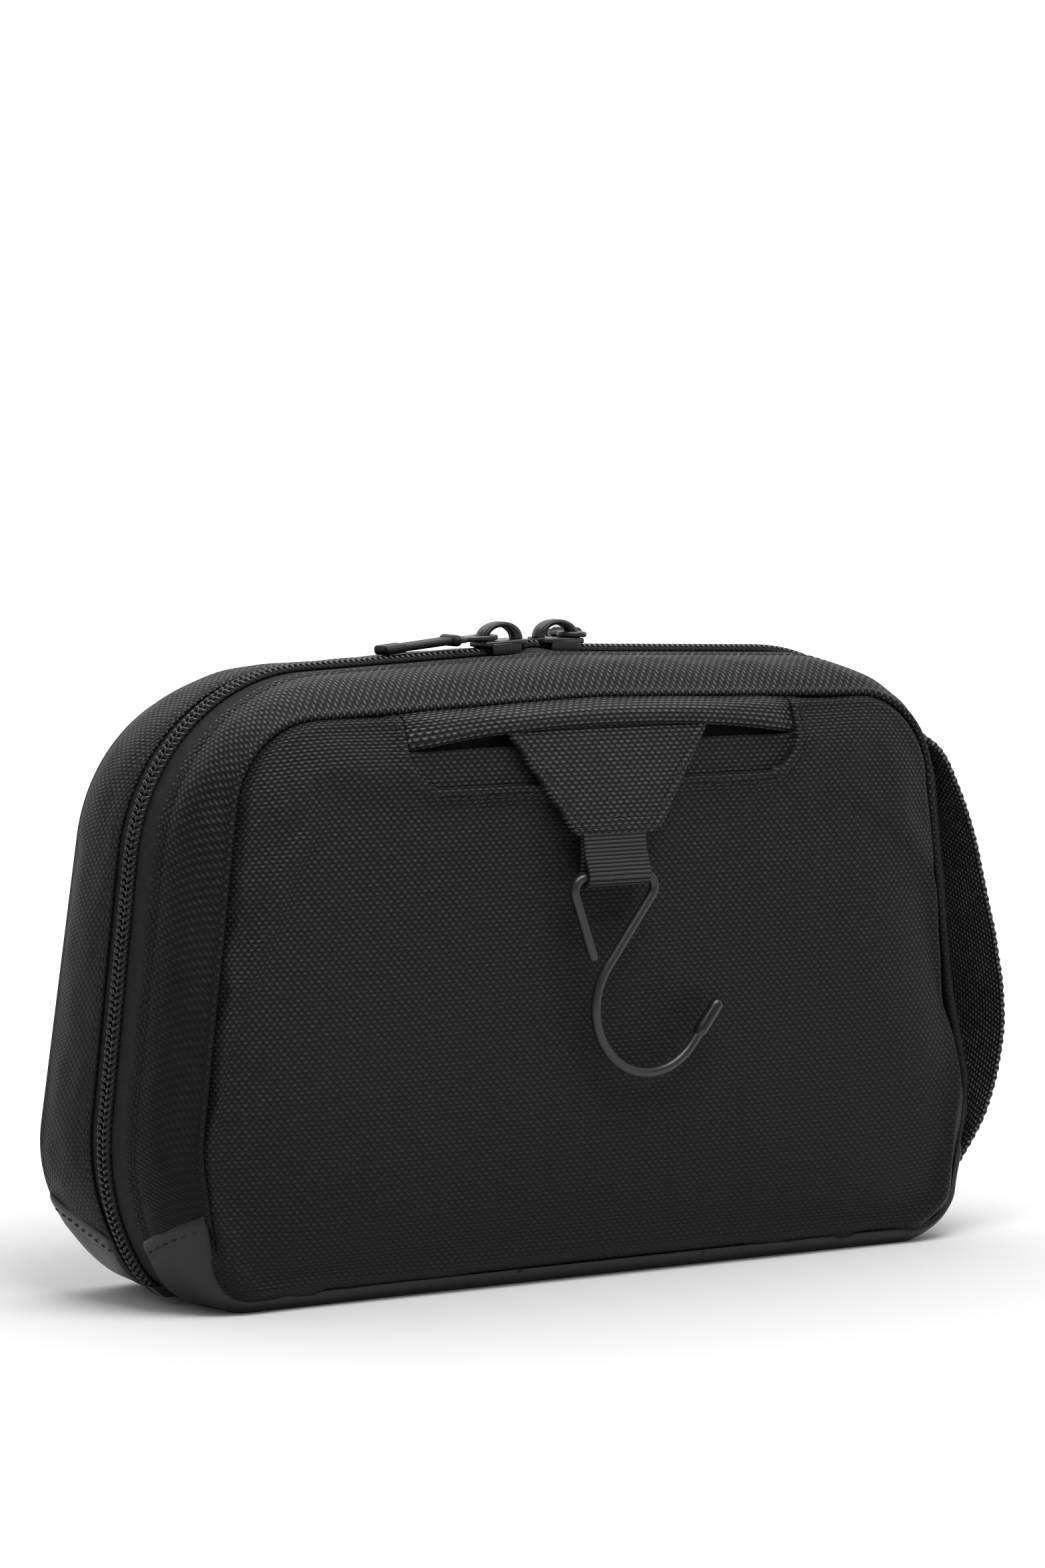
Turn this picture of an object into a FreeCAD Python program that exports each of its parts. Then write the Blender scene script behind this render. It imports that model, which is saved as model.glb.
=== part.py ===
"""Hanging toiletry bag: two soft half shells joined by a zipper and a fabric hinge at the base.

Frame: +Z up, origin on the floor under the middle of the hinge line. The front half, which carries
the hook pocket, is on the -Y side; the rear half is on the +Y side; the carry handle is on +X.
"""
import FreeCAD, Part
import math
import os

V = FreeCAD.Vector

# ---- driving dimensions, millimetres -------------------------------------------------------
TOP_Z = 170.5             # cloth face at the middle of the zipper run
CENTRE_Z = 80.0           # height that the panel domes shrink towards
FRONT_SEAM = 29.0         # depth of the front half to its panel seam
REAR_SEAM = 34.0          # depth of the rear half to its panel seam
FRONT_CROWN = 7.8         # how far the front panel bulges past its seam
REAR_CROWN = 4.0
STATIONS = [5.0, 10.0, 15.0, 20.0, 24.0, 27.0, 31.0]    # depths where the outline is set out
BASE_FLAT = 14.0          # half depth of the flat part of the base
FABRIC = 0.9              # outer cloth
TAPE = 0.6                # zipper tape
LINING_IN = 2.4           # from the outer face to the lining
LINING = 0.6
ZIP_GAP = 0.6             # half gap between the two zipper sides
COIL_WIDTH = 2.6
COIL_HEIGHT = 2.2
TAPE_EDGE = 14.0          # the tape runs this far under the gusset
FRONT_EDGE = 10.0         # folded edge of the front gusset over the tape
REAR_EDGE = 6.8
ZIP_END_Z = 2.2           # the zipper stops this high on the lower corners
STOP_HEIGHT = 3.0
HINGE_START = {-1: 0.45, 1: -0.05}    # where each half's strip starts, by side
HINGE_HALF = 96.0         # half length of the base strip that joins the halves
BASE_ZIP_Z = 14.5         # height of the coated base at the zipper
BASE_SEAM_Z = 28.0        # and at the panel seams

# Outlines as half polygons (x, z) from the middle of the top to the base, each corner with its radius.
MID_OUTLINE = ([(0.0, TOP_Z), (124.8, 166.1), (141.1, 30.0), (123.0, 0.0)], [150.0, 55.0, 60.0, 24.0])
FRONT_OUTLINE = ([(0.0, 160.0), (115.0, 156.5), (129.0, 43.0), (122.0, 3.6)], [150.0, 26.0, 40.0, 13.0])
REAR_OUTLINE = ([(0.0, 164.5), (119.0, 160.5), (139.0, 30.0), (113.0, 1.8)], [150.0, 46.0, 34.0, 40.0])
TOP_SLOPE = math.degrees(math.atan2(TOP_Z - 166.1, 124.8))
DOME_SCALES = [1.0, 0.96, 0.88, 0.72, 0.5, 0.25]
DOME_RISE = [0.0, 0.38, 0.70, 0.90, 0.98, 1.0]

# Hook pocket in the front panel
POCKET_HALF = 65.0
POCKET_BOTTOM = 136.7
POCKET_RADIUS = 12.0
LIP_END_Z = 147.0
LIP_TOP_Z = 151.8
INSET_TOP_Z = 146.0
INSET_STEP = 0.9          # the lower band lies this far behind the panel
PANEL = 1.5               # front panel with its backing
POCKET_GAP = 1.5          # slack in the pocket behind the panel
POCKET_BAG_Z = 62.0       # bottom of the pocket's lining

# Tab and hook
TAB_AXIS = V(0, -35.7, 149.6)
TAB_THICK = 2.0
TAB_TOP_HALF = 33.0
TAB_END_HALF = 14.0
TAB_END = V(0, -39.8, 122.0)
WEB_WIDTH = 21.0
WEB_PLY = 1.2
WIRE_D = 2.8
HOOK_AXIS = V(0, -41.1, 110.8)
HOOK_LEAN = 1.5           # degrees, towards the panel
HOOK_CENTRE = (11.3, 75.0)
HOOK_RADIUS = 18.6
HOOK_LEFT_X = -16.6
HOOK_RIGHT_X = 15.2
HOOK_BEND = 3.4
HOOK_FREE_END = (-8.5, 89.2)
HOOK_OPEN_DEG = -38.0     # where the round part turns into the straight tip
HOOK_TIP = 12.5
CAP_D = 4.0
CAP_LENGTH = 11.5
RUN_CLEAR = 0.3           # between the webbing loop and the wire

# Sliders
SLIDER_X = {"left": -10.6, "right": 8.4}
SLIDER_LENGTH = 14.4
SLIDER_HALF = 4.7
PLATE = 1.3
BAIL_HALF = 7.2
BAIL_RISE = 5.0
BAIL_HOLE = (3.8, 3.2)
BAIL_WIDTH = 2.6
LEG_X = 5.5               # centre of a bail leg
PULL_TURN = {"left": 178.0, "right": 62.0}    # direction of each pull, degrees from +X
PULL_BAR_X = 10.4
PULL_END_X = 33.0

# Carry handle on the front half's right end
HANDLE_WIDTH = 22.0
HANDLE_FRONT_Y = -27.0
HANDLE_SLANT = -1.5       # how far the strap leans in x over its width
HANDLE_THICK = 1.8
# Inner face of the strap from its upper end to its lower end, as (x, z)
HANDLE_CURVE = [(114.0, 143.5), (122.8, 138.4), (129.6, 128.0), (135.3, 113.5), (140.8, 94.5), (145.2, 75.0),
                (146.2, 58.0), (143.6, 44.0), (138.4, 32.5), (130.6, 22.0)]


# ---- outlines and lofts --------------------------------------------------------------------
def mirrored(half):
    """The whole polygon, clockwise from the middle of the top, from its right half."""
    return list(half) + [(-x, z) for x, z in reversed(half[1:])]


def shrunk(points, radii, d):
    """The polygon with every side moved inwards by d (outwards if negative)."""
    n = len(points)
    sides = []
    for i in range(n):
        (x0, z0), (x1, z1) = points[i], points[(i + 1) % n]
        length = math.hypot(x1 - x0, z1 - z0)
        nx, nz = (z1 - z0) / length, -(x1 - x0) / length
        sides.append((nx, nz, nx * x0 + nz * z0 + d))
    moved = []
    for i in range(n):
        a0, b0, c0 = sides[i - 1]
        a1, b1, c1 = sides[i]
        det = a0 * b1 - a1 * b0
        moved.append(((c0 * b1 - c1 * b0) / det, (a0 * c1 - a1 * c0) / det))
    return moved, [max(r - d, 1.0) for r in radii]


def rounded_wire(points, radii, y):
    """Closed wire in the plane y: straight sides joined by tangent arcs."""
    n = len(points)
    starts, mids, ends = [], [], []
    for i in range(n):
        p = V(points[i][0], y, points[i][1])
        a = V(points[i - 1][0], y, points[i - 1][1]) - p
        b = V(points[(i + 1) % n][0], y, points[(i + 1) % n][1]) - p
        a.normalize()
        b.normalize()
        half = a.getAngle(b) / 2
        reach = radii[i] / math.tan(half)
        middle = a + b
        middle.normalize()
        starts.append(p + a * reach)
        ends.append(p + b * reach)
        mids.append(p + middle * (radii[i] / math.sin(half) - radii[i]))
    edges = []
    for i in range(n):
        edges.append(Part.Arc(starts[i], mids[i], ends[i]).toShape())
        edges.append(Part.LineSegment(ends[i], starts[(i + 1) % n]).toShape())
    return Part.Wire(edges)


def blended(side, depth):
    """The bag's outline at a depth from the zipper plane towards its front or rear seam."""
    target, seam, power = (FRONT_OUTLINE, FRONT_SEAM, 2.8) if side < 0 else (REAR_OUTLINE, REAR_SEAM, 3.0)
    share = (max(depth, 0.0) / seam) ** power
    lift = max(0.0, (depth - BASE_FLAT) / (seam - BASE_FLAT)) ** 9
    low = share if side < 0 else max(depth, 0.0) / seam   # the rear's base corners round off sooner
    points = []
    for k, ((x0, z0), (x1, z1)) in enumerate(zip(MID_OUTLINE[0], target[0])):
        tx, tz = (low, lift) if k == 3 else (share, share)
        points.append((x0 + (x1 - x0) * tx, z0 + (z1 - z0) * tz))
    radii = [a + (b - a) * (low if k > 1 else share)
             for k, (a, b) in enumerate(zip(MID_OUTLINE[1], target[1]))]
    return mirrored(points), radii + radii[:0:-1]


def seam_of(side):
    return FRONT_SEAM if side < 0 else REAR_SEAM


def section(side, depth, inset):
    points, radii = blended(side, depth)
    points, radii = shrunk(points, radii, inset)
    return rounded_wire(points, radii, side * depth)


def body_loft(side, inset):
    """Solid of one half from the hinge plane to its panel seam, inset from its outer face."""
    seam = seam_of(side)
    stops = [HINGE_START[1]] + [d for d in STATIONS if d < seam] + [seam]
    return Part.makeLoft([section(side, d, inset) for d in stops], True, True)


def slab(side, start, end, z0=-10.0, z1=200.0):
    y0, y1 = sorted((side * start, side * end))
    return wide_box(y0, y1, z0, z1)


def ring(side, start, end, outer, inner):
    """A band of the bag's wall between two depths and two insets from its outer face."""
    return body_loft(side, outer).cut(body_loft(side, inner)).common(slab(side, start, end))


def dome(side, shift, rim):
    """Crowned pad on the panel seam, its crown shift lower than the outer face and its rim smaller."""
    seam, crown = (FRONT_SEAM, FRONT_CROWN) if side < 0 else (REAR_SEAM, REAR_CROWN)
    points, radii = blended(side, seam)
    wires = []
    for scale, rise in zip(DOME_SCALES, DOME_RISE):
        s = scale * rim
        moved = [(x * s, CENTRE_Z + (z - CENTRE_Z) * s) for x, z in points]
        wires.append(rounded_wire(moved, [r * s for r in radii], side * (seam + rise * (crown - shift))))
    return Part.makeLoft(wires, True, True)


def box(x0, x1, y0, y1, z0, z1):
    return Part.makeBox(x1 - x0, y1 - y0, z1 - z0, V(x0, y0, z0))


def wide_box(y0, y1, z0, z1):
    return box(-200, 200, y0, y1, z0, z1)


def solids_of(shape):
    return shape.Solids[0] if len(shape.Solids) == 1 else Part.makeCompound(shape.Solids)


# ---- the two half shells -------------------------------------------------------------------
def base_zone(side):
    """Region of the coated base: everything under a plane that rises from the zipper to the seam."""
    seam = seam_of(side) + 1.0
    low = [(0, -5), (0, BASE_ZIP_Z), (side * seam, BASE_SEAM_Z), (side * seam, -5)]
    points = [V(-200, y, z) for y, z in low]
    return Part.Face(Part.makePolygon(points + points[:1])).extrude(V(400, 0, 0))


def half_shell(side, name):
    """Cloth, base, zipper side, lining and stiffening of one half."""
    seam = seam_of(side)
    edge = FRONT_EDGE if side < 0 else REAR_EDGE
    zone = base_zone(side)
    cloth = ring(side, edge, seam, 0.0, FABRIC)
    s0, s1 = sorted((side * HINGE_START[side], side * edge))
    strip = box(-HINGE_HALF, HINGE_HALF, s0, s1, 0.0, FABRIC)
    low = box(-HINGE_HALF, HINGE_HALF, -60, 60, -10, ZIP_END_Z)
    lower_end = wide_box(-60, 60, -10, ZIP_END_Z + STOP_HEIGHT)
    tape = ring(side, ZIP_GAP, TAPE_EDGE, FABRIC, FABRIC + TAPE).cut(low)
    coil = ring(side, ZIP_GAP, ZIP_GAP + COIL_WIDTH, FABRIC - COIL_HEIGHT, FABRIC)
    padding = ring(side, TAPE_EDGE, seam - LINING, FABRIC, LINING_IN)
    lining = ring(side, 5.0, seam - LINING, LINING_IN, LINING_IN + LINING)
    back = body_loft(side, LINING_IN).common(slab(side, seam - LINING, seam))
    binding = ring(side, seam - 4.0, seam - 1.2, LINING_IN + LINING, LINING_IN + LINING + 1.2)
    y0, y1 = sorted((side * 1.2, side * 13.6))
    return {
        name + "_gusset": cloth.cut(zone),
        name + "_base": cloth.common(zone).fuse(strip).removeSplitter(),
        name + "_zip_tape": tape,
        name + "_zip_coil": coil.cut(lower_end),
        name + "_zip_stops": coil.common(lower_end).cut(wide_box(-60, 60, -10, ZIP_END_Z)),
        name + "_gusset_padding": padding,
        name + "_lining": lining.fuse(back).removeSplitter(),
        name + "_seam_binding": binding,
        name + "_base_board": box(-90, 90, y0, y1, 1.5, LINING_IN),
    }


def pocket_outline():
    """Closed (x, z) face of the pocket cut-out, with round lower corners, as a prism along Y."""
    half, top = POCKET_HALF, 170.0
    points = [(-half, top), (half, top), (half, POCKET_BOTTOM), (-half, POCKET_BOTTOM)]
    wire = rounded_wire(points, [1.0, 1.0, POCKET_RADIUS, POCKET_RADIUS], -60)
    return Part.Face(wire).extrude(V(0, 60, 0))


def lip_zone():
    """Everything above the lip's arched lower edge."""
    a, m, b = V(-POCKET_HALF, -60, LIP_END_Z), V(0, -60, LIP_TOP_Z), V(POCKET_HALF, -60, LIP_END_Z)
    up = [b, V(POCKET_HALF, -60, 170), V(-POCKET_HALF, -60, 170), a]
    edges = [Part.Arc(a, m, b).toShape()] + [Part.LineSegment(p, q).toShape() for p, q in zip(up, up[1:])]
    return Part.Face(Part.Wire(edges)).extrude(V(0, 60, 0))


def front_panel_parts():
    skin = dome(-1, 0.0, 1.0).cut(dome(-1, PANEL, 0.985))
    cut_out = pocket_outline()
    pocket_skin = skin.common(cut_out)
    inset = pocket_skin.common(wide_box(-60, 0, 0, INSET_TOP_Z))
    inset.translate(V(0, INSET_STEP, 0))
    pocket_back = PANEL + POCKET_GAP
    bag_zone = box(-POCKET_HALF, POCKET_HALF, -60, 0, POCKET_BAG_Z, 152.0)
    anchor_zone = box(-TAB_TOP_HALF, TAB_TOP_HALF, -60, 0, LIP_TOP_Z + 0.4, 156.0)
    behind = dome(-1, pocket_back + LINING, 0.95)
    return {
        "front_panel": skin.cut(cut_out),
        "pocket_lip": pocket_skin.common(lip_zone()),
        "pocket_inset": inset,
        "pocket_lining": dome(-1, pocket_back, 0.965).cut(behind).common(bag_zone),
        "hook_tab_anchor": dome(-1, PANEL, 0.985).cut(dome(-1, pocket_back, 0.965)).common(anchor_zone),
        "front_foam": behind,
    }


def rear_panel_parts():
    return {
        "rear_panel": dome(1, 0.0, 1.0).cut(dome(1, PANEL, 0.985)),
        "rear_foam": dome(1, PANEL, 0.985),
    }


def sheet_across(side, start, end, inset, z0, z1):
    """A flat sheet that fills the compartment between two depths and two heights."""
    return body_loft(side, inset).common(slab(side, start, end, z0, z1))


def inner_pockets():
    """A mesh slip pocket in the front half and a slip pocket on the rear half's back wall."""
    front_in, rear_in = LINING_IN + LINING, LINING_IN + LINING + 1.4
    return {
        "front_mesh_pocket": sheet_across(-1, 12.6, 13.0, front_in, -5, 92),
        "front_mesh_hem": sheet_across(-1, 12.0, 13.6, front_in, 92, 99),
        "rear_slip_pocket": sheet_across(1, 31.0, 31.4, rear_in, -5, 104),
        "rear_slip_hem": sheet_across(1, 30.5, 31.9, rear_in, 104, 111),
    }


# ---- carry handle --------------------------------------------------------------------------
def side_handle():
    inner = [V(x, HANDLE_FRONT_Y, z) for x, z in HANDLE_CURVE]
    curve = Part.BSplineCurve()
    curve.interpolate(inner)
    outer_points = []
    for p in inner:
        t = curve.tangent(curve.parameter(p))[0]
        outer_points.append(p + V(-t.z, 0, t.x) * HANDLE_THICK)
    outer = Part.BSplineCurve()
    outer.interpolate(outer_points)
    edges = [
        curve.toShape(),
        Part.LineSegment(inner[-1], outer_points[-1]).toShape(),
        outer.toShape(),
        Part.LineSegment(outer_points[0], inner[0]).toShape(),
    ]
    face = Part.Face(Part.Wire(Part.sortEdges(edges)[0]))
    strap = face.extrude(V(HANDLE_SLANT, HANDLE_WIDTH, 0))
    return {"side_handle": strap.cut(body_loft(-1, 0.0)).Solids[0]}


# ---- hook tab ------------------------------------------------------------------------------
def tab_frame():
    """Direction of the tab from its axis to its lower end, and its outward normal."""
    along = TAB_END - TAB_AXIS
    along.normalize()
    return along, V(0, along.z, -along.y)


def tab_plate(offset0, offset1, trim):
    """A layer of the tab between two offsets along its normal."""
    along, normal = tab_frame()
    length = (TAB_END - TAB_AXIS).Length - trim
    top, end = TAB_TOP_HALF - trim, TAB_END_HALF - trim
    corners = [(-top, trim), (top, trim), (end, length), (-end, length)]
    points = [TAB_AXIS + V(x, 0, 0) + along * s + normal * offset0 for x, s in corners]
    return Part.Face(Part.makePolygon(points + points[:1])).extrude(normal * (offset1 - offset0))


def hook_tab():
    along = tab_frame()[0]
    half = TAB_THICK / 2
    roll = Part.makeCylinder(half, 2 * TAB_TOP_HALF, TAB_AXIS - V(TAB_TOP_HALF, 0, 0), V(1, 0, 0))
    face = tab_plate(0.3, half, 0.0).cut(roll)
    back = tab_plate(-half, -0.3, 0.0).cut(roll)
    core = tab_plate(-0.3, 0.3, 2.5)
    outer_r = WIRE_D / 2 + RUN_CLEAR + WEB_PLY
    left = V(WEB_WIDTH / 2, 0, 0)
    eye = Part.makeCylinder(outer_r, WEB_WIDTH, HOOK_AXIS - left, V(1, 0, 0))
    down = HOOK_AXIS - TAB_END
    down.normalize()
    across = V(0, down.z, -down.y)
    points = [TAB_END + across * WEB_PLY, TAB_END - across * WEB_PLY,
              HOOK_AXIS - across * (outer_r - 0.1), HOOK_AXIS + across * (outer_r - 0.1)]
    points = [p - left for p in points]
    neck = Part.Face(Part.makePolygon(points + points[:1])).extrude(left * 2)
    hole = Part.makeCylinder(WIRE_D / 2 + RUN_CLEAR, WEB_WIDTH + 2, HOOK_AXIS - left - V(1, 0, 0), V(1, 0, 0))
    trim = Part.makeBox(80, 20, 20, V(-40, -10, 0))
    trim.rotate(V(0, 0, 0), V(1, 0, 0), math.degrees(math.atan2(along.y, -along.z)))
    trim.translate(TAB_END)
    return {
        "hook_tab_face": face,
        "hook_tab_back": back,
        "hook_tab_stiffener": core,
        "hook_tab_fold": roll,
        "hook_webbing": neck.fuse(eye).cut(hole).cut(trim),
    }


# ---- wire hook -----------------------------------------------------------------------------
def corner_arc(corner, before, after, radius):
    """Tangent arc of a radius at a corner of the wire: its two ends and its middle."""
    a, b = before - corner, after - corner
    a.normalize()
    b.normalize()
    half = a.getAngle(b) / 2
    middle = a + b
    middle.normalize()
    reach = radius / math.tan(half)
    return corner + a * reach, corner + middle * (radius / math.sin(half) - radius), corner + b * reach


def hook_wire_path():
    y, bar_z = HOOK_AXIS.y, HOOK_AXIS.z
    centre = V(HOOK_CENTRE[0], y, HOOK_CENTRE[1])
    free_end = V(HOOK_FREE_END[0], y, HOOK_FREE_END[1])
    left, right = V(HOOK_LEFT_X, y, bar_z), V(HOOK_RIGHT_X, y, bar_z)
    reach = right - centre
    off = math.acos(HOOK_RADIUS / reach.Length)
    start = math.atan2(reach.z, reach.x) + off

    def on_circle(angle):
        return centre + V(math.cos(angle), 0, math.sin(angle)) * HOOK_RADIUS

    touch = on_circle(start)
    end_angle = math.radians(HOOK_OPEN_DEG) + 2 * math.pi
    leave = on_circle(end_angle)
    tip = leave + V(-math.sin(end_angle), 0, math.cos(end_angle)) * HOOK_TIP
    l0, lm, l1 = corner_arc(left, free_end, right, HOOK_BEND)
    r0, rm, r1 = corner_arc(right, left, touch, HOOK_BEND)
    edges = [
        Part.LineSegment(free_end, l0), Part.Arc(l0, lm, l1), Part.LineSegment(l1, r0), Part.Arc(r0, rm, r1),
        Part.LineSegment(r1, touch), Part.Arc(touch, on_circle((start + end_angle) / 2), leave),
        Part.LineSegment(leave, tip),
    ]
    return Part.Wire([e.toShape() for e in edges]), free_end, left, leave, tip


def wire_hook():
    path, free_end, left, leave, tip = hook_wire_path()
    start_dir = left - free_end
    circle = Part.Wire(Part.makeCircle(WIRE_D / 2, free_end, start_dir))
    wire = path.makePipeShell([circle], True, False)
    out = tip - leave
    out.normalize()
    cap_start = tip - out * (CAP_LENGTH - CAP_D / 2)
    shell = Part.makeCylinder(CAP_D / 2, CAP_LENGTH - CAP_D / 2, cap_start, out)
    cap = shell.fuse(Part.makeSphere(CAP_D / 2, tip)).removeSplitter().cut(wire)
    for part in (wire, cap):
        part.rotate(HOOK_AXIS, V(1, 0, 0), HOOK_LEAN)
    return {"hook_wire": wire, "hook_tip_cap": cap}


# ---- zipper sliders and pulls --------------------------------------------------------------
def on_top_run(shape, x):
    """Move a shape made round the origin to x on the sloping top run of the zipper."""
    tilt = TOP_SLOPE if x > 0 else -TOP_SLOPE
    shape.rotate(V(0, 0, 0), V(0, 1, 0), tilt)
    shape.translate(V(x, 0, TOP_Z - abs(x) * math.tan(math.radians(TOP_SLOPE))))


def arch(a, b, seat):
    """Half ellipse standing on the seat, across the slider's width."""
    edge = Part.ArcOfEllipse(Part.Ellipse(V(0, 0, 0), a, b), 0, math.pi).toShape()
    wire = Part.Wire([edge, Part.LineSegment(V(-a, 0, 0), V(a, 0, 0)).toShape()])
    solid = Part.Face(wire).extrude(V(0, 0, BAIL_WIDTH))
    solid.rotate(V(0, 0, 0), V(1, 0, 0), 90)
    solid.translate(V(0, BAIL_WIDTH / 2, seat))
    return solid


def slider(name, x, nose):
    """Slider body and bail at x on the top run; the wide end points to nose, +1 or -1."""
    seat = COIL_HEIGHT - FABRIC + 0.3
    half = SLIDER_LENGTH / 2
    ends = [(-half, 3.5), (half - 5.5, SLIDER_HALF), (half - 2.0, SLIDER_HALF), (half, 2.8)]
    plan = ends + [(px, -py) for px, py in reversed(ends)]
    plan = [V(nose * px, py, seat) for px, py in plan]
    top = Part.Face(Part.makePolygon(plan + plan[:1])).extrude(V(0, 0, PLATE))
    f0, f1 = sorted((nose * (3.0 - half), nose * (half - 3.5)))
    flange = box(f0, f1, 3.6, SLIDER_HALF - 0.3, -0.5, seat)
    p0, p1 = sorted((nose * (half - 4.5), nose * (half - 1.5)))
    post = box(p0, p1, -0.25, 0.25, -FABRIC - TAPE - 0.35, seat)
    under = box(-half + 1.0, half - 1.0, -3.8, 3.8, -FABRIC - TAPE - 1.45, -FABRIC - TAPE - 0.35)
    body = top.fuse(flange).fuse(post).fuse(under).removeSplitter()
    bail = arch(BAIL_HALF, BAIL_RISE, seat + PLATE).cut(arch(*BAIL_HOLE, seat + PLATE))
    for part in (body, bail):
        on_top_run(part, x)
    return {name + "_slider_body": body, name + "_slider_bail": bail}


def pull(name, x, leg, turn, droop):
    """Eye link round a leg of the bail, and the strap looped on the link's bar."""
    thick, bar_r, half = 1.1, 0.8, 3.1
    z0 = COIL_HEIGHT - FABRIC + PLATE + 0.6
    mid = z0 + thick / 2
    eye = Part.makeCylinder(4.0, thick, V(0, 0, z0))
    neck = box(3.2, 7.4, -1.6, 1.6, z0, z0 + thick)
    beam = box(6.6, 8.0, -4.4, 4.4, z0, z0 + thick)
    link = eye.fuse(neck).fuse(beam)
    for y0, y1 in ((3.4, 4.4), (-4.4, -3.4)):
        link = link.fuse(box(7.9, PULL_BAR_X + 0.8, y0, y1, z0, z0 + thick))
    link = link.fuse(Part.makeCylinder(bar_r, 7.4, V(PULL_BAR_X, -3.7, mid), V(0, 1, 0)))
    link = link.removeSplitter().cut(Part.makeCylinder(2.7, thick + 2, V(0, 0, z0 - 1)))
    tab = Part.makeCylinder(1.6, 2 * half, V(PULL_BAR_X, -half, mid), V(0, 1, 0))
    tab = tab.fuse(box(PULL_BAR_X, PULL_END_X - 5.0, -half, half, mid - 0.9, mid + 0.9))
    tab = tab.fuse(box(PULL_END_X - 5.0, PULL_END_X, -half - 0.3, half + 0.3, mid - 1.2, mid + 1.2))
    hole = Part.makeCylinder(bar_r + 0.1, 2 * half + 2, V(PULL_BAR_X, -half - 1, mid), V(0, 1, 0))
    tab = tab.removeSplitter().cut(hole)
    tab.rotate(V(PULL_BAR_X, 0, mid), V(0, 1, 0), droop)
    for part in (link, tab):
        part.rotate(V(0, 0, 0), V(0, 0, 1), turn)
        part.translate(V(leg, 0, 0))
        on_top_run(part, x)
    return {name + "_pull_link": link, name + "_pull_tab": tab}


def zipper_sliders():
    made = {}
    for name, nose, droop in (("left", 1, 2.2), ("right", -1, 3.0)):
        x = SLIDER_X[name]
        made.update(slider(name, x, nose))
        made.update(pull(name, x, -nose * LEG_X, PULL_TURN[name], droop))
    return made


def build():
    parts = {}
    parts.update(half_shell(-1, "front"))
    parts.update(half_shell(1, "rear"))
    parts.update(front_panel_parts())
    parts.update(rear_panel_parts())
    parts.update(inner_pockets())
    parts.update(side_handle())
    parts.update(hook_tab())
    parts.update(wire_hook())
    parts.update(zipper_sliders())
    return parts


def main():
    os.makedirs("parts", exist_ok=True)
    for name, shape in build().items():
        shape = solids_of(shape)
        if not shape.isValid():
            print("not valid:", name)
        print("%-20s solids %d volume %.1f" % (name, len(shape.Solids), shape.Volume))
        shape.exportStep("parts/%s.step" % name)


main()
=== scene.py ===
import math

import bmesh
import bpy
import numpy as np
from mathutils import Matrix, Vector


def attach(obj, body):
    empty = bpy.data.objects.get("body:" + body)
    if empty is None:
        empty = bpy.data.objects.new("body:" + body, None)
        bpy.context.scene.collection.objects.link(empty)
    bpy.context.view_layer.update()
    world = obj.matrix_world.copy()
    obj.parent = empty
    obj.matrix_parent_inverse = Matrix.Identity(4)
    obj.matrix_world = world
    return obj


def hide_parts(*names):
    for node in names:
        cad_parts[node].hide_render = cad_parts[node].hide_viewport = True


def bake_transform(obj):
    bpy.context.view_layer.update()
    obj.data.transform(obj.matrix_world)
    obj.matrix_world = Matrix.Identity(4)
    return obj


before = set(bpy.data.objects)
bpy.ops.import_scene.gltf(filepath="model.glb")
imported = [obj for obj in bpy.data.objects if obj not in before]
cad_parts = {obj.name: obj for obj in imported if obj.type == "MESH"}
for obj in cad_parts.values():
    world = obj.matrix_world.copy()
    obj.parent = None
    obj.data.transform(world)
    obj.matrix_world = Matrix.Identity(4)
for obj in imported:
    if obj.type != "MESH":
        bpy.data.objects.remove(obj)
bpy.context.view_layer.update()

MM = 0.001
rng = np.random.default_rng(7)

# Sizes in millimetres, in the frame's axes. They repeat the CAD's outlines.
TOP_Z, SHOULDER_X, SHOULDER_Z = 170.5, 124.8, 166.1
MID = ([(0.0, TOP_Z), (SHOULDER_X, SHOULDER_Z), (141.1, 30.0), (123.0, 0.0)], [150.0, 55.0, 60.0, 24.0])
FRONT = ([(0.0, 160.0), (115.0, 156.5), (129.0, 43.0), (122.0, 3.6)], [150.0, 26.0, 40.0, 13.0])
REAR = ([(0.0, 164.5), (119.0, 160.5), (139.0, 30.0), (113.0, 1.8)], [150.0, 46.0, 34.0, 40.0])
SEAM = {-1: 29.0, 1: 34.0}
CROWN = {-1: 7.8, 1: 4.0}
FOLD = {-1: 10.0, 1: 6.8}
CENTRE_Z = 80.0
BASE_FLAT = 14.0
BASE_LOW, BASE_HIGH = 14.5, 28.0
NAMES = {-1: "front", 1: "rear"}
BODY = {-1: "front_half", 1: "rear_half"}


# ---- points and curves ---------------------------------------------------------------------
def stack(*parts):
    """Points or UVs from coordinates that are numbers or arrays."""
    return np.stack(np.broadcast_arrays(*parts), -1)


def unit(v):
    return v / (np.linalg.norm(v, axis=-1, keepdims=True) + 1e-12)


def smooth(x, a, b):
    t = np.clip((x - a) / (b - a), 0, 1)
    return t * t * (3 - 2 * t)


def arc_length(P):
    """Distance along a polyline to each of its points."""
    return np.concatenate([[0], np.cumsum(np.linalg.norm(np.diff(P, axis=0), axis=1))])


def along(P, at, arc):
    """Values of P at the distances at, where arc gives each row's own distance."""
    return np.column_stack([np.interp(at, arc, P[:, k]) for k in range(P.shape[1])])


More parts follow.
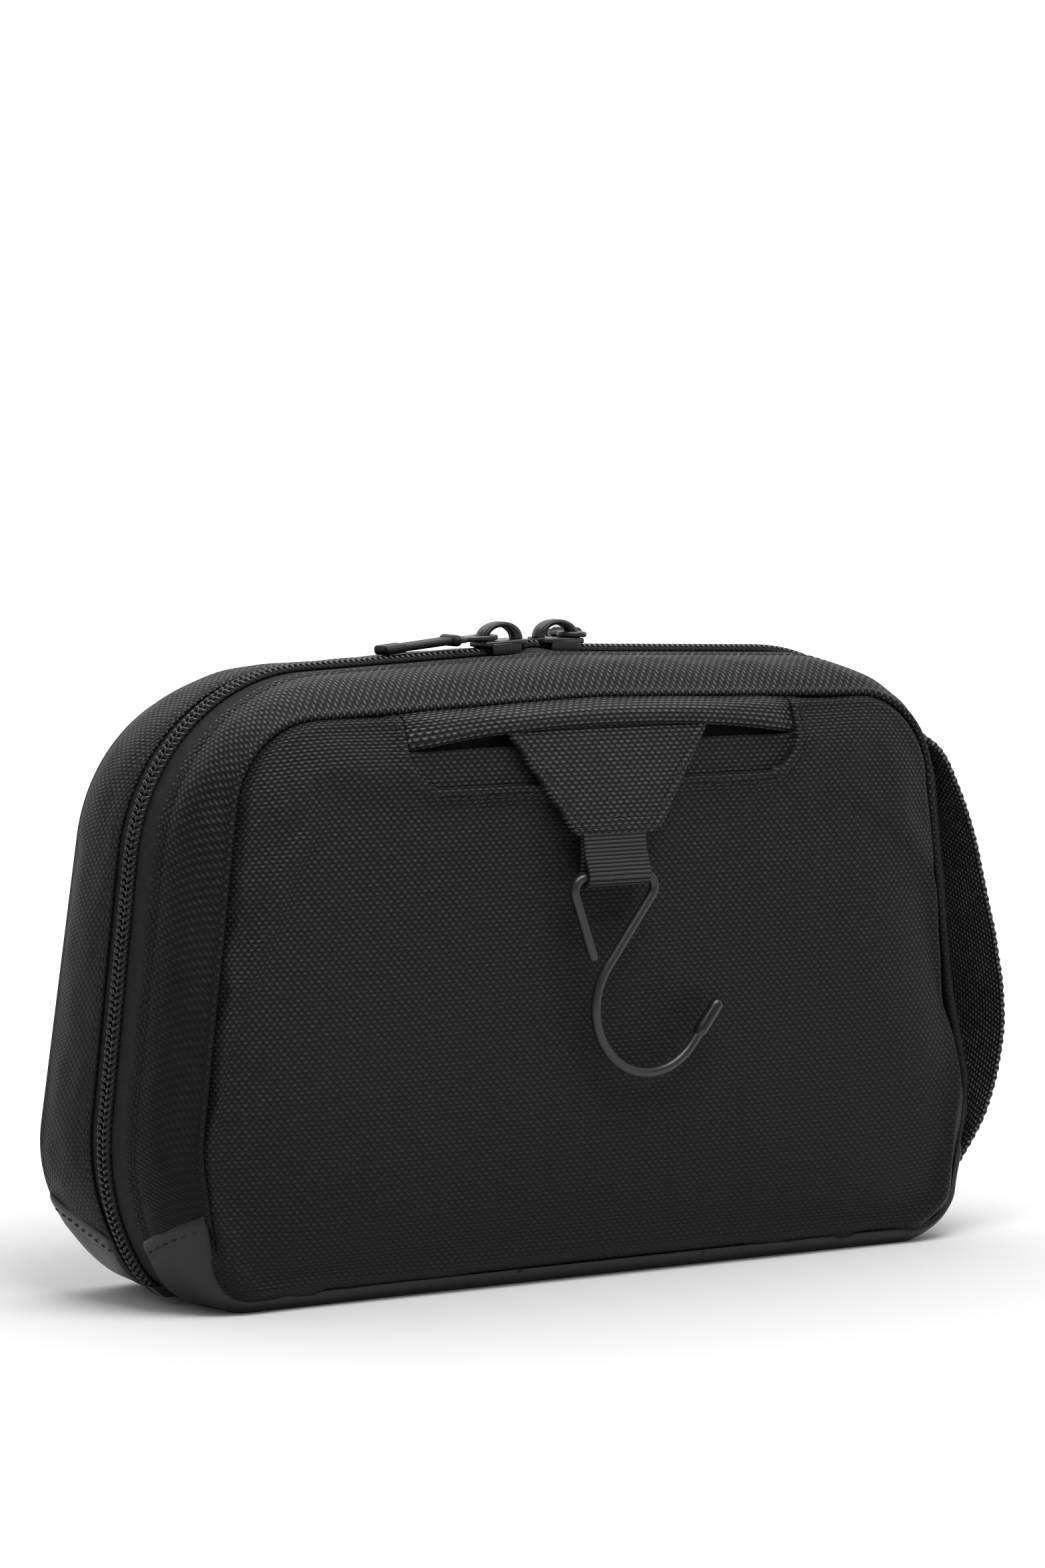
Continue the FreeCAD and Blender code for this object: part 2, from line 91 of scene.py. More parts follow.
def waves(u, v, seed, scale):
    """Smooth repeatable noise in about -1..1 from sines."""
    r = np.random.default_rng(seed)
    out = np.zeros(np.broadcast(u, v).shape)
    total = 0.0
    for k in range(3):
        for _ in range(4):
            a = r.uniform(0, 2 * math.pi)
            f = 2 * math.pi / (scale / 1.9 ** k) * r.uniform(0.7, 1.3)
            out = out + np.sin((u * math.cos(a) + v * math.sin(a)) * f + r.uniform(0, 6.28)) * 0.6 ** k
        total += 2.2 * 0.6 ** k
    return out / total


def straight(a, b, steps):
    return [a + (b - a) * i / steps for i in range(steps + 1)]


def fillet(p, before, after, radius):
    """Centre, start and end of the arc that rounds the corner at p."""
    a, b = unit(before - p), unit(after - p)
    half = math.acos(float(np.clip(a @ b, -1, 1))) / 2
    centre = p + unit(a + b) * radius / math.sin(half)
    return centre, p + a * radius / math.tan(half), p + b * radius / math.tan(half)


def swing(centre, start, end, steps):
    """Points round an arc from start to end."""
    t0, t1 = start - centre, end - centre
    w = math.acos(float(np.clip((t0 @ t1) / (t0 @ t0), -1, 1)))
    turn = np.linspace(0, w, steps + 1)
    return [centre + (math.sin(w - q) * t0 + math.sin(q) * t1) / math.sin(w) for q in turn]


# ---- outlines ------------------------------------------------------------------------------
ARC_STEPS = [4, 44, 20, 16]
LINE_STEPS = [40, 62, 8, 56]


def half_outline(corners, radii):
    """Points from the middle of the top to the middle of the base, along the +X side."""
    both = corners + [(-x, z) for x, z in reversed(corners[1:])]
    pts = [np.array(p, float) for p in both]
    out = []
    for k in range(4):
        centre, start, end = fillet(pts[k], pts[k - 1], pts[(k + 1) % len(pts)], radii[k])
        if k == 0:
            start = centre + unit(pts[0] - centre) * radii[0]
        else:
            out += straight(last, start, LINE_STEPS[k - 1])[1:-1]
        out += swing(centre, start, end, ARC_STEPS[k])
        last = end
    out += straight(last, np.array([0.0, last[1]]), LINE_STEPS[3])[1:]
    return np.array(out)


def loop_outline(side, depth):
    """Closed loop from the middle of the base, up the -X side, over the top and down the +X side."""
    target, seam, power = (FRONT, SEAM[-1], 2.8) if side < 0 else (REAR, SEAM[1], 3.0)
    share = (depth / seam) ** power
    lift = max(0.0, (depth - BASE_FLAT) / (seam - BASE_FLAT)) ** 9
    low = share if side < 0 else min(depth / seam, 1.0)
    corners = []
    for k, ((x0, z0), (x1, z1)) in enumerate(zip(MID[0], target[0])):
        tx, tz = (low, lift) if k == 3 else (share, share)
        corners.append((x0 + (x1 - x0) * tx, z0 + (z1 - z0) * tz))
    radii = [a + (b - a) * (low if k > 1 else share) for k, (a, b) in enumerate(zip(MID[1], target[1]))]
    half = half_outline(corners, radii)
    return np.concatenate([half[::-1] * [-1, 1], half[1:-1]])


def swell(x, z):
    """The front half bulges sideways at its lower corner by the carry handle."""
    return 2.6 * smooth(x, 88, 122) * (1 - smooth(z, 42, 74)) * smooth(z, 0, 14)


class Shell:
    """Outer surface of one half, with a place and a normal at any loop position s and depth."""

    def __init__(self, side):
        self.side = side
        self.step = 0.5
        depths = np.arange(0.0, SEAM[side] + 2.01, self.step)
        loops = [loop_outline(side, min(d, SEAM[side])) for d in depths]
        self.pos = np.array([stack(loop[:, 0], side * d, loop[:, 1]) for d, loop in zip(depths, loops)])
        self.n = self.pos.shape[1]
        ds = np.roll(self.pos, -1, 1) - np.roll(self.pos, 1, 1)
        nrm = unit(np.cross(ds, np.gradient(self.pos, axis=0)) * side)
        self.nrm = nrm if nrm[0, self.n // 2, 2] > 0 else -nrm
        self.arc = arc_length(np.vstack([self.pos[0], self.pos[0, :1]]))

    def _mix(self, table, s, depth):
        s = np.mod(s, self.n)
        i = np.floor(s).astype(int) % self.n
        fs = (s - np.floor(s))[..., None]
        d = np.clip(depth / self.step, 0, table.shape[0] - 1.001)
        j = np.floor(d).astype(int)
        fd = (d - j)[..., None]
        i2 = (i + 1) % self.n
        low = table[j, i] * (1 - fs) + table[j, i2] * fs
        high = table[j + 1, i] * (1 - fs) + table[j + 1, i2] * fs
        return low * (1 - fd) + high * fd

    def at(self, s, depth, off=0.0):
        s, depth, off = np.broadcast_arrays(np.asarray(s, float), np.asarray(depth, float), off)
        p = self._mix(self.pos, s, depth)
        if self.side < 0:
            p[..., 0] += swell(p[..., 0], p[..., 2]) * smooth(depth, 8, 22)
        return p + self.normal(s, depth) * off[..., None]

    def normal(self, s, depth):
        s, depth = np.broadcast_arrays(np.asarray(s, float), np.asarray(depth, float))
        return unit(self._mix(self.nrm, s, depth))

    def loop(self, depth, off=0.0):
        """Every loop position's point at a depth."""
        return self.at(np.arange(self.n), depth, off)

    def u(self, s):
        """Distance along the hinge plane's loop at position s."""
        turns = np.floor(np.asarray(s) / self.n)
        return np.interp(np.mod(s, self.n), np.arange(self.n + 1), self.arc) + self.arc[-1] * turns

    def s_of(self, u):
        return np.interp(u, self.arc, np.arange(self.n + 1))


SHELL = {-1: Shell(-1), 1: Shell(1)}


# ---- materials -----------------------------------------------------------------------------
def operation(name, swapped=False):
    def build(a, b=0.0):
        return a.net.math(name, b, a) if swapped else a.net.math(name, a, b)
    return build


class Value:
    """A node's output. Sums with it build the nodes that work them out."""

    def __init__(self, net, socket):
        self.net = net
        self.socket = socket

    __add__ = operation("ADD")
    __sub__ = operation("SUBTRACT")
    __mul__ = operation("MULTIPLY")
    __truediv__ = operation("DIVIDE")
    __pow__ = operation("POWER")
    __rpow__ = operation("POWER", swapped=True)


class Net:
    """Short forms for building a node tree."""

    def __init__(self, tree, shader="Principled BSDF"):
        self.tree = tree
        self.shader = tree.nodes[shader]

    def node(self, kind, **settings):
        n = self.tree.nodes.new(kind)
        for k, v in settings.items():
            setattr(n, k, v)
        return n

    def put(self, socket, value):
        if isinstance(value, Value):
            self.tree.links.new(value.socket, socket)
        else:
            socket.default_value = value

    def made(self, kind, inputs, output, **settings):
        """The output of a new node whose inputs are given by name or number."""
        n = self.node(kind, **settings)
        for k, v in inputs.items():
            self.put(n.inputs[k], v)
        return Value(self, n.outputs[output])

    def set(self, **sockets):
        """Values for the shader's sockets, with an underscore for each space in a name."""
        for k, v in sockets.items():
            self.put(self.shader.inputs[k.replace("_", " ")], v)

    def math(self, op, a, b=0.0, clamp=False):
        return self.made("ShaderNodeMath", {0: a, 1: b}, 0, operation=op, use_clamp=clamp)

    def sine(self, a):
        return self.math("SINE", a * math.pi)

    def split(self, vector, *outputs):
        n = self.node("ShaderNodeSeparateXYZ")
        self.put(n.inputs[0], vector)
        return [Value(self, n.outputs[k]) for k in outputs]

    def uv(self):
        return self.split(self.made("ShaderNodeUVMap", {}, 0, uv_map="UVMap"), 0, 1)

    def place(self):
        return self.made("ShaderNodeTexCoord", {}, "Object")

    def noise(self, scale, detail):
        inputs = {"Scale": scale, "Detail": detail, "Vector": self.place()}
        return self.made("ShaderNodeTexNoise", inputs, "Fac")

    def ramp(self, value, low, high):
        return self.made("ShaderNodeMapRange", {"Value": value, "To Min": low, "To Max": high}, "Result")

    def colour(self, fac, a, b):
        return self.made("ShaderNodeMix", {0: fac, 6: (*a, 1), 7: (*b, 1)}, 2, data_type="RGBA")

    def bump(self, height, distance, strength=1.0):
        inputs = {"Strength": strength, "Distance": distance * MM, "Height": height}
        self.set(Normal=self.made("ShaderNodeBump", inputs, 0))


def new_material(name):
    m = bpy.data.materials.new(name)
    m.use_nodes = True
    return m, Net(m.node_tree)


def grey(v, blue=0.0):
    return (v, v, v * (1 + blue))


def shade(base, share):
    return tuple(c * share for c in base)


# Height up to which the woven cloth's painted light from above rises.
PAINTED_LIGHT_HEIGHT = 0.16


def woven(name, pitch_u, pitch_v, dark, light, rough, depth, shift=0.5, spread=0.35, spec=0.35, crown=0.5,
          narrow=0.24, long=1.0, painted_top_light=None):
    """Cloth whose yarns float over one another: rows of dashes, each row shifted by a share of the pitch.
    The dashes are the weave's own pattern with a painted highlight: light is painted on each yarn's crown,
    where a lamp above would catch it, over dark, the cloth's own colour. depth is the bump in millimetres.
    spread is how much the dashes differ, crown where across a row the painted highlight lies, narrow how
    wide that painted band is and long how short the dash. fade paints light from above: it sets how strong
    the dashes are at the floor and PAINTED_LIGHT_HEIGHT metres up, with the power of the rise between them, so
    the cloth is painted brighter higher up."""
    m, k = new_material(name)
    u, v = k.uv()
    u = u / pitch_u + k.noise(90.0, 2.0) * 0.16
    v = v / pitch_v + k.noise(60.0, 2.0) * 0.12
    row = k.math("FLOOR", v)
    u = u + row * shift
    fu, fv = k.math("FRACT", u), k.math("FRACT", v)
    su, sv = k.sine(fu), k.sine(fv)
    cell = k.made("ShaderNodeCombineXYZ", {0: k.math("FLOOR", u), 1: row}, 0)
    chance = k.made("ShaderNodeTexWhiteNoise", {"Vector": cell}, "Value", noise_dimensions="2D")
    vary = k.ramp(chance, 1.0 - spread, 1.0)
    fibre = k.noise(2600.0, 2.0)
    # Painted highlight: a band across each yarn at crown, where a lamp above would light it, mixes the base
    # colour towards light.
    off = (fv - crown) / narrow
    highlight_band = math.e ** (off * off * -1.0)
    tone = k.math("MULTIPLY", su ** long * highlight_band * vary, k.ramp(fibre, 0.6, 1.3), clamp=True)
    # Painted light from above: the dashes, and so the base colour, are painted brighter with height.
    if painted_top_light:
        low, high, power = painted_top_light
        rise = k.math("DIVIDE", *k.split(k.place(), 2), PAINTED_LIGHT_HEIGHT, clamp=True) ** power
        tone = k.math("MULTIPLY", tone, k.ramp(rise, low, high), clamp=True)
    # The base colour runs from the cloth's own dark colour to the painted highlight colour.
    k.set(Base_Color=k.colour(tone, dark, light), Roughness=fibre * 0.15 + rough,
          Specular_IOR_Level=k.ramp(tone, spec * 0.2, spec))
    k.bump(su ** 0.6 * sv ** 0.9 * vary + fibre * 0.15, depth)
    return m


def ribbed(name, pitch, dark, light, depth):
    """Grosgrain webbing: ribs across the strap with fine yarns over them. The ribs' crests carry a painted
    highlight over the webbing's own dark colour.
    """
    m, k = new_material(name)
    u, v = k.uv()
    v = v / pitch + k.noise(120.0, 2.0) * 0.12
    rib = k.math("ABSOLUTE", k.sine(v)) ** 0.55
    yarn = k.math("ABSOLUTE", k.math("SINE", u * (math.pi / 0.42)))
    fibre = k.noise(2600.0, 2.0)
    # Painted highlight: the rib crests, crossed by the yarns, mix the base colour towards light.
    tone = rib ** 2.0 * k.ramp(yarn, 0.55, 1.0)
    tone = k.math("MULTIPLY", tone, k.ramp(fibre, 0.5, 1.3), clamp=True)
    k.set(Base_Color=k.colour(tone, dark, light), Roughness=0.5, Specular_IOR_Level=k.ramp(tone, 0.05, 0.3))
    k.bump(rib + yarn * 0.25, depth)
    return m


def felted(name, base):
    """Knitted zipper tape with a soft nap."""
    m, k = new_material(name)
    fine, soft = k.noise(2100.0, 4.0), k.noise(420.0, 3.0)
    fac = k.math("MULTIPLY", fine, k.ramp(soft, 0.5, 1.5), clamp=True)
    tone = k.colour(fac, shade(base, 0.25), shade(base, 1.9))
    k.set(Base_Color=tone, Roughness=0.85, Specular_IOR_Level=0.1)
    k.bump(fine, 0.25)
    return m


def grained(name, base, rough, depth, spec, scale=900.0, wear=0.15):
    """Leather, moulded or painted surface: fine grain, with rubbed patches."""
    m, k = new_material(name)
    cells = k.made("ShaderNodeTexVoronoi", {"Scale": scale, "Vector": k.place()}, "Distance", feature="F1")
    patch, fine = k.noise(35.0, 4.0), k.noise(scale * 1.7, 2.0)
    k.set(Base_Color=k.colour(patch * fine, base, shade(base, 1 + wear * 3)),
          Roughness=patch * 0.2 + (rough - 0.08), Specular_IOR_Level=spec)
    k.bump(cells * 0.6 + fine * 0.4, depth)
    return m


def thread(name, base):
    """Twisted sewing thread."""
    m, k = new_material(name)
    twist = k.made("ShaderNodeTexWave", {"Scale": 700.0, "Vector": k.place()}, "Fac")
    k.set(Base_Color=k.colour(twist, shade(base, 0.7), base), Roughness=0.5, Specular_IOR_Level=0.25)
    k.bump(twist, 0.1, 0.6)
    return m


def net_cloth(name, pitch, base):
    """Knitted mesh with round holes."""
    m, k = new_material(name)
    u, v = k.uv()
    v = v / (pitch * 0.87)
    u = u / pitch + k.math("FLOOR", v) * 0.5
    fu, fv = k.math("FRACT", u) - 0.5, k.math("FRACT", v) - 0.5
    d = k.math("SQRT", fu * fu + fv * fv)
    k.set(Alpha=k.math("GREATER_THAN", d, 0.34), Base_Color=k.colour(d, shade(base, 1.6), base), Roughness=0.7)
    k.bump(d, 0.2, 0.8)
    return m


# In the woven cloths below, the light colour is a painted highlight on the yarns; the last numbers of the two
# black nylons paint them brighter higher up.
CLOTH = dict(pitch_u=2.22, pitch_v=1.17)
NYLON = woven("black_nylon", **CLOTH, dark=grey(0.0065), light=grey(0.055), rough=0.40, depth=0.28, spec=0.42,
              crown=0.6, narrow=0.18, long=4.5, painted_top_light=(0.25, 0.95, 1.2))
NYLON_SIDE = woven("black_nylon_side", **CLOTH, dark=grey(0.0055), light=grey(0.065), rough=0.42, depth=0.24,
                   spec=0.40, narrow=0.2, long=4.5, painted_top_light=(0.12, 1.25, 4.0))
NYLON_TAB = woven("black_nylon_tab", **CLOTH, dark=grey(0.006), light=grey(0.078), rough=0.38, depth=0.34,
                  spec=0.45, crown=0.55, narrow=0.2, long=2.4)
TAPE = felted("zip_tape", grey(0.017))
LEATHER = grained("coated_base", grey(0.0075), 0.43, depth=0.03, spec=0.3, scale=1100.0)
COIL = grained("zip_coil", grey(0.003), 0.22, depth=0.015, spec=0.45)
METAL = grained("metal_black", grey(0.009, 0.08), 0.3, depth=0.02, spec=0.42, wear=0.25)
RUBBER = grained("pull_rubber", grey(0.006), 0.45, depth=0.05, spec=0.2)
TIP = grained("tip_rubber", grey(0.006), 0.22, depth=0.01, spec=0.4)
# The webbing's light colour is a painted highlight on its ribs.
WEB = ribbed("webbing", 1.1, grey(0.003), grey(0.042, 0.1), 0.5)
STRAP = woven("webbing_strap", 1.5, 1.15, grey(0.003), grey(0.16), rough=0.4, depth=0.3, shift=0.36, spec=0.4,
              narrow=0.2, long=3.0, spread=0.55)
SMOOTH = woven("lining_satin", 0.5, 0.5, grey(0.004), grey(0.009), rough=0.42, depth=0.05, spec=0.25)
LINING = woven("lining_cloth", 0.7, 0.7, grey(0.05), grey(0.095), rough=0.6, depth=0.07)
BINDING = woven("binding", 1.4, 1.0, grey(0.005), grey(0.016), rough=0.6, depth=0.15, spec=0.2)
MESH = net_cloth("mesh_black", 1.9, grey(0.02))
THREAD = thread("thread", grey(0.014))
DARK_THREAD = thread("thread_dark", grey(0.007))


# ---- mesh helpers --------------------------------------------------------------------------
def add_object(name, mesh, material):
    mesh.materials.append(material)
    obj = bpy.data.objects.new(name, mesh)
    bpy.context.scene.collection.objects.link(obj)
    return obj


def finish_mesh(name, verts, faces, uv, material):
    mesh = bpy.data.meshes.new(name)
    mesh.from_pydata((np.asarray(verts) * MM).tolist(), [], faces)
    if uv is not None:
        mesh.uv_layers.new(name="UVMap").data.foreach_set("uv", np.asarray(uv, np.float32).ravel())
    mesh.shade_smooth()
    mesh.update()
    return add_object(name, mesh, material)


def grid(name, P, UV, material, loop=False, tube=False, flip=False):
    """Mesh from a grid of points P (rows, columns, 3). loop joins the columns' ends, tube the rows' ends.
    UV has one more column than P if loop and one more row if tube."""
    P, UV = np.asarray(P), np.asarray(UV)
    m, n = P.shape[:2]
    i, j = np.meshgrid(np.arange(m if tube else m - 1), np.arange(n if loop else n - 1), indexing="ij")
    i2, j2 = (i + 1) % m, (j + 1) % n
    quad = stack(i * n + j, i * n + j2, i2 * n + j2, i2 * n + j).reshape(-1, 4)
    corner = np.stack([UV[i, j], UV[i, j + 1], UV[i + 1, j + 1], UV[i + 1, j]], -2).reshape(-1, 4, 2)
    if flip:
        quad, corner = quad[:, ::-1], corner[:, ::-1]
    return finish_mesh(name, P.reshape(-1, 3), quad.tolist(), corner, material)


def close_ends(obj):
    """Fill the open ends of a tube or ribbon."""
    bm = bmesh.new()
    bm.from_mesh(obj.data)
    bmesh.ops.holes_fill(bm, edges=[e for e in bm.edges if e.is_boundary], sides=0)
    bmesh.ops.recalc_face_normals(bm, faces=bm.faces)
    bm.to_mesh(obj.data)
    bm.free()


def thicken(obj, thickness, offset):
    solid = obj.modifiers.new("thickness", "SOLIDIFY")
    solid.thickness = thickness * MM
    solid.offset = offset


def done(obj, body, replaces=()):
    """What a piece rides on, and the CAD nodes it stands for, which are hidden."""
    if replaces:
        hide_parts(*replaces)
    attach(obj, body)


def blob(n=8, m=5):
    """Unit sphere as vertices and faces: m rings of n points."""
    a = np.linspace(0, 2 * math.pi, n, endpoint=False)
    b = np.linspace(-math.pi / 2, math.pi / 2, m + 2)[1:-1, None]
    rings = stack(np.cos(a) * np.cos(b), np.sin(a) * np.cos(b), np.sin(b)).reshape(-1, 3)
    last = (m - 1) * n
    after = [(c + 1) % n for c in range(n)]
    faces = [[r + c, r + after[c], r + n + after[c], r + n + c] for r in range(0, last, n) for c in range(n)]
    for c in range(n):
        faces += [[m * n, after[c], c], [m * n + 1, last + c, last + after[c]]]
    return np.vstack([rings, [[0, 0, -1], [0, 0, 1]]]), faces


def scatter(name, centres, axes, sizes, material):
    """One mesh of ellipsoids at centres, with half sizes along three unit axes."""
    verts, faces = blob()
    at = centres[:, None]
    for k, size in enumerate(sizes):
        at = at + verts[None, :, k:k + 1] * axes[k][:, None] * size
    copies = [[v + i * len(verts) for v in face] for i in range(len(centres)) for face in faces]
    return finish_mesh(name, at.reshape(-1, 3), copies, None, material)


def sew(name, P, N, pitch, size, body, material=DARK_THREAD):
    """A row of stitches along the polyline P on a surface with normals N. size is a stitch's length,
    width and half height."""
    arc = arc_length(P)
    count = max(int(arc[-1] / pitch), 1)
    at = (np.arange(count) + 0.5) * arc[-1] / count
    C, nrm = along(P, at, arc), unit(along(np.broadcast_to(N, P.shape), at, arc))
    tan = unit(np.gradient(C, axis=0))
    across = unit(np.cross(nrm, tan))
    tan = unit(tan + across * rng.normal(0, 0.05, count)[:, None])
    length, width, height = size
    axes = (tan, unit(np.cross(nrm, tan)), nrm)
    done(scatter(name, C, axes, (length / 2, width / 2, height), material), body)


CAP_TURNS = np.array([0.35, 0.7, 1.05, 1.35, 1.5])


def tube(name, P, radius, material, segments, cap=True):
    """Round bar along the polyline P; radius is a number or one per point."""
    P = np.asarray(P, float)
    r = np.broadcast_to(np.asarray(radius, float), len(P))
    tan = unit(np.gradient(P, axis=0))
    ref = np.array([0.0, 1.0, 0.0]) if abs(tan[0, 1]) < 0.9 else np.array([1.0, 0, 0])
    a = unit(np.cross(tan[0], ref))
    frames = []
    for t in tan:
        a = unit(a - t * (a @ t))
        frames.append((a, np.cross(t, a)))
    if cap:
        out = np.sin(CAP_TURNS)[:, None]
        start, end = P[0] - tan[0] * r[0] * out, P[-1] + tan[-1] * r[-1] * out
        r0, r1 = [np.maximum(r[k] * np.cos(CAP_TURNS), 0.02) for k in (0, -1)]
        P, r = np.vstack([start[::-1], P, end]), np.concatenate([r0[::-1], r, r1])
        frames = frames[:1] * len(CAP_TURNS) + frames + frames[-1:] * len(CAP_TURNS)
    f = np.array(frames)[:, :, None] * r[:, None, None, None]
    turn = np.linspace(0, 2 * math.pi, segments, endpoint=False)[:, None]
    G = P[:, None] + f[:, 0] * np.cos(turn) + f[:, 1] * np.sin(turn)
    UV = stack(np.linspace(0, 2 * math.pi * r.max(), segments + 1), arc_length(P)[:, None])
    return grid(name, G, UV, material, loop=True)


def ribbon(name, P, across, half, thick, material, uv_turn=False):
    """A strap along the polyline P. half is half its width, once or for each point, towards across."""
    P = np.asarray(P, float)
    across = np.broadcast_to(across, P.shape)[:, None]
    nrm = unit(np.cross(unit(np.gradient(P, axis=0)), across[:, 0]))[:, None]
    h = thick / 2
    flat, bend = np.linspace(-1, 1, 13), np.array([0.6, 1.2, 1.94, 2.54])
    one, none = np.ones(13), np.zeros(13)
    side = np.concatenate([flat, one[:4], flat[::-1], -one[:4]])
    rise = np.concatenate([one, np.cos(bend), -one, -np.cos(bend)])[:, None]
    edge = np.concatenate([none, np.sin(bend), none, np.sin(bend)])
    x = side * (np.broadcast_to(half, len(P))[:, None] - h) + np.sign(side) * edge * h
    G = P[:, None] + across * x[..., None] + nrm * rise * h
    x = np.hstack([x, x[:, :1]])
    arc = arc_length(P)[:, None]
    obj = grid(name, G, stack(arc, x) if uv_turn else stack(x, arc), material, loop=True)
    close_ends(obj)
    return obj


# ---- gussets, tapes and coils --------------------------------------------------------------
def shaped(side, s, depth, off):
    """Point on a half, where the zipper stands up a little between the two sliders."""
    p = SHELL[side].at(s, depth, off)
    hump = 1.3 * np.exp(-((p[..., 0] + 1.1) / 6.0) ** 2)
    p[..., 2] += hump * smooth(p[..., 2], 150, 168) * (1 - smooth(depth, 3, 12))
    return p


def base_top(side, depth):
    """Height of the coated base's upper edge at a depth."""
    return BASE_LOW + (BASE_HIGH - BASE_LOW) * depth / (SEAM[side] + 1.0)


def gusset(side):
    """Band of cloth from the folded edge by the zipper to the seam with the panel, which it rolls into."""
    sh, seam, fold, name, body = SHELL[side], SEAM[side], FOLD[side], NAMES[side], BODY[side]
    full = 0.9 if side < 0 else 0.6
    rows = [(fold + d, off) for d, off in (
        (3.0, -0.75), (0.7, -0.72), (0.1, -0.5), (-0.05, -0.15), (0.15, 0.15), (0.5, 0.3),
        (1.0, 0.26), (1.5, 0.16), (2.0, 0.28), (2.5, 0.30), (3.0, 0.14), (3.5, 0.25))]
    for d in np.linspace(fold + 4.2, seam - 1.2, 22):
        t = (d - fold - 4.2) / (seam - fold - 5.4)
        rows.append((d, 0.3 + full * max(math.sin(math.pi * t * 0.9), 0.0) ** 0.8))
    rows += [(seam + d, off) for d, off in (
        (-0.3, 0.62), (0.4, 0.62), (0.95, 0.35), (1.3, -0.15),
        (1.3, -0.75), (0.9, -1.35), (0.1, -1.8), (-2.4, -2.5))]
    s = np.arange(sh.n)
    u = sh.u(s)
    P, UV = [], []
    v = 0.0
    last = rows[0]
    for d, off in rows:
        step = d - last[0]
        v += math.hypot(step, off - last[1] + 0.35 * step * smooth(d, 18, seam))
        last = (d, off)
        row = sh.loop(d)
        length = arc_length(np.vstack([row, row[:1]]))
        slack = 0.35 * waves(u, d * 2.0, 3 + side, 46.0) * smooth(d, fold + 3, fold + 8)
        slack = slack * (1 - smooth(d, seam - 3, seam))
        under = 1 - smooth(row[:, 2] - base_top(side, d), -6.0, -3.0)
        P.append(shaped(side, s, d, (off + slack) * (1 - under) - 0.9 * under))
        UV.append(stack(v, length - length[sh.n // 2]))
    obj = grid(name + "_gusset_cloth", P, UV, NYLON_SIDE, loop=True, flip=side < 0)
    done(obj, body, [name + "_gusset", name + "_gusset_padding"])
    for k, d in enumerate((fold + 1.5, fold + 3.05)):
        keep = np.where(sh.loop(d)[:, 2] > 12 + d * 0.45)[0]
        sew("%s_zip_stitch_%d" % (name, k), shaped(side, keep, d, 0.22), sh.normal(keep, d), 2.7,
            (2.0, 0.5, 0.24), body)


def zip_range(side, z_stop):
    """Loop positions of the zipper's two lower ends."""
    up = np.where(SHELL[side].loop(1.0)[:, 2] > z_stop)[0]
    return float(up[0]), float(up[-1])


def tape(side):
    sh, name = SHELL[side], NAMES[side]
    s = np.linspace(*zip_range(side, 1.2), 460)
    section = np.array([
        (0.65, -0.85), (2.5, -0.82), (4.0, -0.78), (5.5, -0.84), (7.5, -0.84), (9.5, -0.84), (11.5, -0.9),
        (12.5, -1.2), (11.5, -1.45), (6.0, -1.45), (0.7, -1.45)])
    v = arc_length(section)
    v = np.append(v, v[-1] + 0.6)[:, None]
    P = [shaped(side, s, d, off) for d, off in section]
    obj = grid(name + "_tape_cloth", P, stack(sh.u(s), v), TAPE, tube=True, flip=side > 0)
    close_ends(obj)
    done(obj, BODY[side], [name + "_zip_tape"])


def coil(side):
    """Interlocking nylon coil: one slanted arch of wire per turn, round a sewing cord."""
    sh, name, body = SHELL[side], NAMES[side], BODY[side]
    a, b = zip_range(side, 3.8)
    pitch = 1.8
    u = np.arange(float(sh.u(a)), float(sh.u(b)), pitch) + (pitch / 2 if side > 0 else 0.0)
    t = np.linspace(0, 1, 9)
    across = 0.35 + 1.9 * t
    rise = -0.75 + 1.7 * np.sin(math.pi * (t * 0.93 + 0.06)) ** 0.75
    S = sh.s_of(u[:, None] + math.tan(math.radians(42)) * (across - 1.3))
    C = shaped(side, S, across, rise)
    T = unit(np.gradient(C, axis=1))
    B = unit(np.cross(T, sh.normal(S, across)))
    N = np.cross(B, T)
    wire = np.full((len(t), 1, 1), 0.52)
    wire[0] = wire[-1] = 0.36
    ring = np.linspace(0, 2 * math.pi, 7)[:-1, None]
    V = C[:, :, None] + (B[:, :, None] * np.cos(ring) * 1.12 + N[:, :, None] * np.sin(ring)) * wire
    m, k = len(t), len(ring)
    i, j = np.meshgrid(np.arange(m - 1) * k, np.arange(k), indexing="ij")
    j2 = (j + 1) % k
    quad = stack(i + j, i + j2, i + k + j2, i + k + j).reshape(-1, 4)
    faces = (quad + np.arange(len(u))[:, None, None] * m * k).reshape(-1, 4)
    teeth = finish_mesh(name + "_coil_turns", V.reshape(-1, 3), faces.tolist(), None, COIL)
    close_ends(teeth)
    done(teeth, body, [name + "_zip_coil"])
    core = tube(name + "_coil_core", shaped(side, np.arange(a, b, 0.8), 1.7, -0.1), 0.8, TAPE, 8)
    done(core, body)
    row = np.arange(a + 1, b - 1, 0.5)
    sew(name + "_coil_stitch", shaped(side, row, 1.4, 1.2), sh.normal(row, 1.4), pitch, (1.4, 0.4, 0.16), body)


for side in (-1, 1):
    gusset(side)
    tape(side)
    coil(side)


# ---- coated base ---------------------------------------------------------------------------
def base_edge(side):
    """Depths, and at each the loop position, from the middle of the base, where the coated base ends."""
    sh = SHELL[side]
    depths = np.arange(0.0, SEAM[side] + 1.76, 0.25)
    ends = []
    for d in depths:
        over = sh.at(np.arange(sh.n // 2), d)[:, 2] - base_top(side, d)
        k = int(np.argmax(over > 0)) - 1
        ends.append(k + over[k] / (over[k] - over[k + 1]))
    return depths, np.array(ends)


